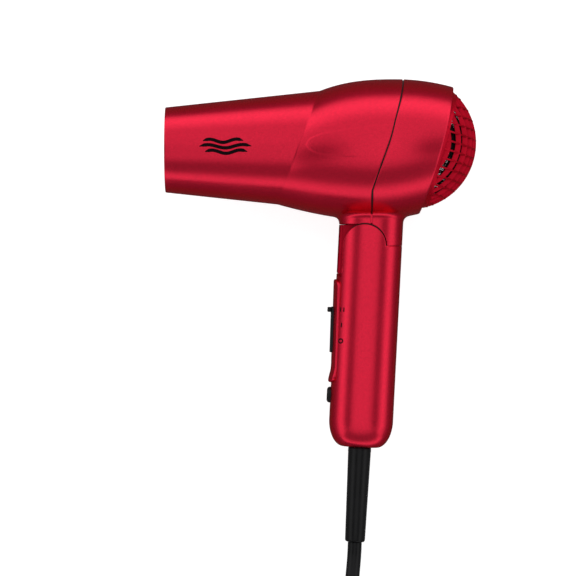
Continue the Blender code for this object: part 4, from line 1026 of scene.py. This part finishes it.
def dome_strips(pitch, last, reach, section, lowest, count):
    """Crossing strips on the dome, their section given as (across, drop, lift) points."""
    shapes = []
    for offset in np.arange(-last, last + 1) * pitch:
        limit = math.sqrt(max(reach ** 2 - offset ** 2, 1e-8))
        along = np.linspace(-limit, limit, count)
        for flip in (False, True):
            rows = []
            for across, drop, lift in section:
                height = np.maximum(dome(offset, along) + drop, lowest) + lift
                side = np.full_like(along, offset + across)
                rows.append(xyz(height, along, side) if flip else xyz(height, side, along))
            shapes.append(capped(np.array(rows).transpose(1, 0, 2)))
    return join_meshes(*shapes)


def make_grille():
    """Curved ribs with rounded outer corners, and the border round them."""
    half = RIB_WIDTH / 2
    section = ((-half, -RIB_DEPTH, 0), (-half, -0.00025, 0), (-half * 0.55, 0, 0), (half * 0.55, 0, 0),
               (half, -0.00025, 0), (half, -RIB_DEPTH, 0))
    last = int((GRILLE_RADIUS - GRILLE_BORDER) / RIB_PITCH)
    mesh = dome_strips(RIB_PITCH, last, GRILLE_RADIUS - 0.0008, section, -0.0028, 48)
    rim = GRILLE_RADIUS
    inner = rim - GRILLE_BORDER
    height = float(dome(inner, 0.0))
    profile = [(inner, height - RIB_DEPTH), (inner, height - 0.0003), (inner + 0.0003, height - 0.00005)]
    profile += [(r, float(dome(r, 0.0))) for r in np.linspace(inner + 0.0006, rim - 0.0002, 6)]
    profile += [(rim, -0.0004), (rim, -0.003), (rim - 0.0014, -0.003), (inner, height - RIB_DEPTH)]
    border = moved(revolve(profile, 160), Matrix.Rotation(math.pi / 2, 4, "Y"))
    mesh = merge_meshes(mesh, join_meshes(border))
    piece("intake_mesh", mesh, MESH_RED, "head", ("rear_grille",), GRILLE, 30)


def make_lint_screen_and_gap_shade():
    """A fine woven screen just under the ribs, black: partly a real lint screen, partly painted shade that
    darkens the gaps between the ribs.
    """
    reach, depth, half = GRILLE_RADIUS - 0.003, 0.0034, 0.00017
    section = ((-half, -depth, 0), (0, -depth, half), (half, -depth, 0), (0, -depth, -half))
    mesh = dome_strips(SCREEN_PITCH, int(reach / SCREEN_PITCH), reach, section, -0.0026, 28)
    # Black both as a lint screen and as painted shade for the grille's gaps.
    piece("lint_screen_and_gap_shade", mesh, BLACK, "head", (), GRILLE)


# Outlet guard


def make_guard():
    rim = OUTLET_RADIUS + NOZZLE_SLOPE * GUARD_INSET - WALL - 0.0003
    hub = [(0.0, 0.0002), (0.0034, 0.0003), (0.0036, 0.0008), (0.0034, 0.0014), (0.0028, 0.0018),
           (0.0, 0.0019)]
    rings = join_meshes(revolve(ring_profile(rim - 0.0013, rim, 0.0, 0.0022), 96),
                        revolve(ring_profile(0.0098, 0.0111, 0.0003, 0.0019), 72), revolve(hub, 48))
    bar = box_shape((-rim + 0.0007, -0.0006, 0.0004), (rim - 0.0007, 0.0006, 0.0018))
    bars = [moved(bar, at(0, 0, 0, math.radians(30 + 60 * index))) for index in range(3)]
    mesh = merge_meshes(rings, bevelled(join_meshes(*bars), 0.00035))
    matrix = REST @ at(OUTLET_X + GUARD_INSET, BARREL_Y, 0, math.pi / 2, "Y")
    piece("outlet_guard", mesh, BLACK, "head", ("outlet_grille",), matrix)


def ring_profile(inner, outer, low, high, edge=0.0003):
    return [(inner, low + edge), (inner, high - edge), (inner + edge, high), (outer - edge, high),
            (outer, high - edge), (outer, low + edge), (outer - edge, low), (inner + edge, low),
            (inner, low + edge)]


# Tongue of the fold joint


def make_knuckle():
    lower = TONGUE_REACH * math.sin(math.radians(235))
    edge = NECK_EDGE_Y - JOINT_GAP
    inner_x = -TONGUE_REACH * math.cos(math.radians(55))
    outline = [(-0.008, 0.0162), (-0.008, edge), (-0.03, edge), (-0.03, lower * 0.72),
               *arc(TONGUE_REACH, 222, 235, 8), (inner_x + 0.001, -0.0062),
               *arc(TONGUE_DISC, 222, 360, 48), (TONGUE_DISC, 0.0162)]
    block = join_meshes(prism(outline, -TONGUE_HALF, TONGUE_HALF))
    front = -STEM_WIDTH / 2 + 0.0001
    section = rounded_rectangle((front, -TONGUE_HALF), (0.03, TONGUE_HALF), 0.0022, 10)
    rings = [[tuple(to_design(np.float64(x), np.float64(y), z)) for x, z in section] for y in (-0.03, 0.03)]
    skin = join_meshes(capped(np.array(rings)))
    tongue = combined(block, skin, "INTERSECT")
    # The tongue gets the darker red, painted shade for the cheeks' shade on it.
    piece("fold_tongue", tongue, SHADE_PAINTED_RED, "head", ("hinge_knuckle",), crease=30)


# Handle


def handle_rows(side):
    """Rows of one shell from the border of its cheek down to the base, as (rows, columns, 3)."""
    gap = 0.00012
    start = float(np.arcsin((gap / (STEM_DEPTH / 2)) ** (STEM_POWER / 2)))
    angle = np.concatenate([[start, start * 1.6, start * 2.4], np.linspace(start * 3.4, math.pi / 2, 150)])
    angle = np.concatenate([angle, (math.pi - angle)[::-1][1:]]) * side
    x, z = stem_section(angle)
    in_x, in_z = surface_inwards(x, z)
    top = column_border(x, handle_line())
    line = handle_line()
    rows = [edge_rounded((x, top - step, z), in_x, in_z, line)
            for step in (0.0, 0.00006, 0.00014, 0.00024, 0.00034, 0.0005, 0.0009)]
    end = -(STEM_LENGTH - STEM_CORNER)
    rows += [edge_rounded((x, top - 0.0009 + (end - top + 0.0009) * t, z), in_x, in_z, line)
             for t in np.concatenate([np.linspace(0.012, 0.3, 26), np.linspace(0.32, 1, 24)])]
    rows += handle_base(angle)
    rows = np.array(rows)
    seam_gap = np.abs(rows[..., 2]) - gap
    depth = rounding(np.maximum(seam_gap, 0), 0.0003)
    rows = rows + depth[..., None] * to_way(in_x, 0, 0 * in_z)
    turned_in = rows + 0.0014 * to_way(in_x, 0, 0 * in_z)
    rows = np.concatenate([turned_in[:, :1], rows, turned_in[:, -1:]], 1)
    in_x, in_z = (np.concatenate([a[:1], a, a[-1:]]) for a in (in_x, in_z))
    wall = rows[0].copy()
    cheek = np.abs(wall[:, 0]) < 0.0112
    wall += 0.0016 * to_way(in_x, 0, in_z)
    wall[cheek] = rows[0][cheek]
    wall[cheek, 2] = side * CHEEK_INSIDE_Z
    return np.concatenate([wall[None], rows])


def handle_base(angle):
    """The rounded lower end and the flat round the relief."""
    rows = []
    for t in np.sin(math.pi / 2 * np.linspace(0.04, 1, 18)):
        inset = STEM_CORNER_INSET * (1 - math.sqrt(1 - t * t))
        x, z = stem_section(angle, -inset, -inset * STEM_DEPTH / STEM_WIDTH)
        rows.append(to_design(x, STEM_CORNER * (1 - t) - STEM_LENGTH, z))
    for radius, drop in ((0.0058, 0.0), (0.0053, 0.00008), (0.005, 0.0004), (0.005, 0.003)):
        rows.append(to_design(radius * np.cos(angle), drop - STEM_LENGTH, radius * np.sin(angle)))
    return rows


def gap_shade_rows(side):
    """A black strip in the gap between a cheek and the neck, half a millimetre under the surface: painted
    shade for the dark depth of the gap.
    """
    x = np.linspace(-0.0098, 0.015, 160)
    z = side * stem_partner(x, STEM_WIDTH / 2, STEM_DEPTH / 2)
    in_x, in_z = surface_inwards(x, z)
    height = column_border(x, handle_line())
    top = NECK_GAP - 0.0001
    corners = ((-0.0004, 0.0014), (-0.0004, 0.0005), (top, 0.0005), (top, 0.0014))
    return np.array([to_design(x + in_x * depth, height + lift, z + in_z * depth) for lift, depth in corners])


def cheek_plate(side):
    """The flat inside of a cheek, facing the tongue."""
    outline = [*arc(CHEEK_RADIUS - 0.00005, -1.9, 182, 60), (-0.0109, -0.0125), (-0.01, -0.021),
               (0.013, -0.021), (0.013, -0.0009)]
    low, high = sorted((side * CHEEK_INSIDE_Z, side * (CHEEK_INSIDE_Z + 0.0012)))
    return prism(outline, low, high)


def slot_floor():
    """The curved floor of the slot that the tongue sweeps."""
    points = arc(0.0196, 226, 312, 40)
    return grid(np.array([[(x, y, z) for x, y in points] for z in (-0.0085, 0.0085)]))


def make_handle():
    # The black strip under the cheek-neck gap is painted shade.
    piece("joint_gap_shade", join_meshes(grid(gap_shade_rows(1)), grid(gap_shade_rows(-1))), BLACK, "handle")
    left = join_meshes(grid(handle_rows(1)), cheek_plate(1), slot_floor())
    right = open_screw_wells(join_meshes(grid(handle_rows(-1)), cheek_plate(-1)))
    for name, mesh in (("left", left), ("right", right)):
        piece(f"grip_shell_{name}", mesh, LACQUER, "handle", (f"handle_{name}",), crease=32)


SCREWS = ((0.006, -0.028), (0.006, -0.056), (0.0072, -0.078))


def open_screw_wells(mesh):
    """Round wells for the screws, each with its own wall and floor."""
    profile = [(0.0016, 0.0103), (0.0031, 0.0103), (0.0031, 0.013), (0.0033, 0.0133), (0.0038, 0.0132),
               (0.0043, 0.0125)]
    wells = [moved(revolve(profile, 40), TO_GRIP @ at(x, y, 0, math.pi, "X")) for x, y in SCREWS]
    bm = opened(mesh)
    inverse = TO_GRIP.inverted()
    doomed = []
    for face in bm.faces:
        centre = inverse @ face.calc_center_median()
        if centre.z < -0.011 and min(math.hypot(centre.x - x, centre.y - y) for x, y in SCREWS) < 0.0034:
            doomed.append(face)
    bmesh.ops.delete(bm, geom=doomed, context="FACES")
    return merge_meshes(closed(bm), join_meshes(*wells))


def front_skin(span, half, corner, rise_at, back, insets):
    """A raised skin on the handle's front: loops from its foot over its rounded edge to its middle."""
    loops = []
    for inset, share in insets:
        outline = rounded_rectangle((span[0] + inset, -half + inset), (span[1] - inset, half - inset),
                                    max(corner - inset, 0.0002), 10)
        y, z = np.array(denser(outline)).T
        loops.append(front_point(y, z, back + (rise_at(y) - back) * share))
    return capped(np.array(loops))


def denser(outline, per_corner=11, count=24):
    """The outline of a rounded rectangle with points added along its four straight runs."""
    points = []
    for index, (start, end) in enumerate(zip(outline, [*outline[1:], outline[0]])):
        steps = count if index % per_corner == per_corner - 1 else 1
        points += [tuple(np.array(start) + (np.array(end) - start) * i / steps) for i in range(steps)]
    return points


def front_point(y, z, out):
    """The point on the handle's front at grip height y and side z, moved out along the surface."""
    x = -stem_partner(z, STEM_DEPTH / 2, STEM_WIDTH / 2)
    in_x, in_z = surface_inwards(x, z)
    return xyz(x - in_x * out, y, z - in_z * out)


def bezel_rise(y):
    """The bezel gets flatter towards its lower end and flares again there."""
    taper = FRONT_TAPER * (y - BEZEL_SPAN[1])
    return BEZEL_RISE + taper + BEZEL_FLARE * smooth_step((-0.061 - y) / 0.0072)


def plate_rise(y):
    return PLATE_RISE + FRONT_TAPER * (y - PLATE_SPAN[1])


def make_front():
    insets = [(-0.0001, 0.0), (0.0, 0.45), (0.00012, 0.72), (0.0004, 0.92)]
    insets += [(inset, 1.0) for inset in (0.0009, 0.0018, 0.0035, 0.0055, 0.0075, 0.0086)]
    bezel = front_skin(BEZEL_SPAN, BEZEL_HALF, 0.004, bezel_rise, -0.0006, insets)
    piece("switch_bezel", join_meshes(bezel), LACQUER, "handle", ("front_bezel",), GRIP)
    insets = [(0.0, 0.0), (0.0, 0.85), (0.0001, 0.95)]
    insets += [(inset, 1.0) for inset in (0.0004, 0.002, 0.0035, 0.0044)]
    plate = front_skin(PLATE_SPAN, PLATE_HALF, 0.0012, plate_rise, -0.0004, insets)
    slot = box_shape((-0.03, KNOB_Y - KNOB_TRAVEL - 0.0013, -0.0013), (-0.0168, KNOB_Y + 0.0013, 0.0013))
    cover = combined(join_meshes(plate), join_meshes(slot))
    piece("switch_cover", cover, BLACK, "handle", ("switch_plate",), GRIP)
    make_knob()
    make_button()


def make_knob():
    """The thumb slide: a block with three ridges across it and a stem into the slot."""
    face = -STEM_WIDTH / 2 - PLATE_RISE + 0.0002
    tip = -STEM_WIDTH / 2 - KNOB_RISE
    half_y, half_z = KNOB_HALF
    block = box_shape((tip + 0.0001, KNOB_Y - half_y, -half_z), (face, KNOB_Y + half_y, half_z))
    stem = box_shape((face - 0.0004, KNOB_Y - 0.001, -0.001), (-0.0169, KNOB_Y + 0.001, 0.001))
    ridges = [box_shape((tip - 0.00015, y - 0.0002, -half_z + 0.0004),
                        (tip + 0.0004, y + 0.0002, half_z - 0.0004))
              for y in (KNOB_Y - 0.0007, KNOB_Y, KNOB_Y + 0.0007)]
    block = bevelled(join_meshes(block), 0.0003)
    ridges = bevelled(join_meshes(*ridges, stem), 0.00012, 2)
    piece("thumb_slide", merge_meshes(block, ridges), BLACK, "switch_knob", ("switch_knob",), GRIP)


def make_button():
    """The round button, with a dished top."""
    face = STEM_WIDTH / 2
    top = face + BUTTON_RISE
    profile = [(0.0, top - 0.0004), (0.0012, top - 0.00036), (0.0019, top - 0.0002), (0.0023, top - 0.00003),
               (0.0026, top), (0.0031, top - 0.0001), (0.0035, top - 0.00035), (0.0038, top - 0.0007),
               (BUTTON_RADIUS, top - 0.0013), (BUTTON_RADIUS, face - 0.0034), (0.0015, face - 0.0036),
               (0.0015, 0.0102), (0.0, 0.0102)]
    place = GRIP @ at(0, BUTTON_Y, 0, -math.pi / 2, "Y")
    piece("cool_shot_key", join_meshes(revolve(profile, 64)), BLACK, "cool_shot_button",
          ("cool_shot_button",), place)


# Screws


def screw_mesh(head, height, shank, length):
    """A pan head with a cross recess; z points out of the head."""
    profile = [(0.0, -length), (shank * 0.6, -length), (shank, -length + 0.0006), (shank, 0.0), (head, 0.0),
               (head, height * 0.35), (head * 0.9, height * 0.75), (head * 0.6, height * 0.96),
               (0.0, height)]
    mesh = join_meshes(revolve(profile, 40))
    for a, b in ((head * 0.62, head * 0.13), (head * 0.13, head * 0.62)):
        mesh = combined(mesh, join_meshes(box_shape((-a, -b, height * 0.25), (a, b, height * 2))))
    return mesh


def make_screws():
    mesh = screw_mesh(0.0027, 0.002, 0.0015, 0.019)
    for number, (x, y) in enumerate(SCREWS, 1):
        place = GRIP @ at(x, y, -0.0106, math.pi, "X")
        piece(f"cross_screw_{number}", mesh.copy(), STEEL, "handle", (f"handle_screw_{number}",), place)
    mesh = screw_mesh(0.0027, 0.0013, 0.0013, 0.0044)
    for number, x in enumerate((-0.002, 0.017), 1):
        place = REST @ at(x, BARREL_Y, 0, -math.radians(130), "X") @ at(0, 0, 0.034)
        piece(f"radial_screw_{number}", mesh.copy(), STEEL, "head", (f"housing_screw_{number}",), place)
        ring = join_meshes(revolve(ring_profile(0.0029, 0.0037, 0.0002, 0.0016, 0.0002), 40))
        piece(f"screw_collar_{number}", ring, LACQUER, "head", (), place)


# Printed marks


def ribbon(points, normals, half, across):
    """A thin printed line along points: a strip with a top and two sides."""
    corners = ((-half, -0.00004), (-half, 0.00004), (half, 0.00004), (half, -0.00004))
    columns = [points + across * offset + normals * lift for offset, lift in corners]
    return grid(np.array(columns).transpose(1, 0, 2))


def barrel_mark():
    """Three wavy lines of air in the middle of the nozzle."""
    shapes = []
    for row, (start, end) in enumerate(((-0.08, -0.06), (-0.0818, -0.056), (-0.079, -0.058))):
        x = np.linspace(start, end, 60)
        share = (x - start) / (end - start)
        y = 0.0515 - 0.0027 * row + 0.0008 * np.sin(share * 3 * math.pi)
        slope = np.gradient(y, x)
        radius = OUTLET_RADIUS + NOZZLE_SLOPE * (x - OUTLET_X)
        z = np.sqrt(radius ** 2 - (y - BARREL_Y) ** 2)
        points = xyz(x, y, z)
        normals = xyz(0 * x - NOZZLE_SLOPE, (y - BARREL_Y) / radius, z / radius)
        across = xyz(-slope, 1 + 0 * x, -(y - BARREL_Y) / z)
        across /= np.linalg.norm(across, axis=1)[:, None]
        half = 0.00085 * np.minimum(1, np.minimum(share, 1 - share) * 9 + 0.15)[:, None]
        shapes.append(ribbon(points, normals, half, across))
    piece("airflow_mark", join_meshes(*shapes), INK, "head")


def label_shapes(index):
    """Two bars, one bar and a ring: the switch's three positions."""
    if index < 2:
        count = 2 - index
        places = (np.arange(count) - (count - 1) / 2) * 0.0016
        return [np.array([(dx, dy) for dy in np.linspace(-0.0011, 0.0011, 8)]) for dx in places]
    turn = np.linspace(0, 2 * math.pi, 40)
    return [0.001 * np.stack([np.cos(turn), np.sin(turn)], -1)]


def switch_labels():
    shapes = []
    for index, height in enumerate(LABEL_Y):
        for line in label_shapes(index):
            x, y = LABEL_X + line[:, 0], height + line[:, 1]
            z = stem_partner(x, STEM_WIDTH / 2, STEM_DEPTH / 2)
            in_x, in_z = surface_inwards(x, z)
            points, normals = xyz(x, y, z), xyz(-in_x, 0 * x, -in_z)
            across = np.cross(normals, np.gradient(points, axis=0))
            across /= np.linalg.norm(across, axis=1)[:, None]
            shapes.append(ribbon(points, normals, 0.00034, across))
    piece("switch_marks", join_meshes(*shapes), INK, "handle", (), GRIP)


make_camera()
make_cord()
make_studio()
make_housings()
make_grille()
make_lint_screen_and_gap_shade()
make_guard()
make_knuckle()
make_handle()
make_front()
make_screws()
barrel_mark()
switch_labels()
for node, material in CARRIED_OVER.items():
    shown = frame["nodes"][node]
    shown.data.materials.clear()
    shown.data.materials.append(material)
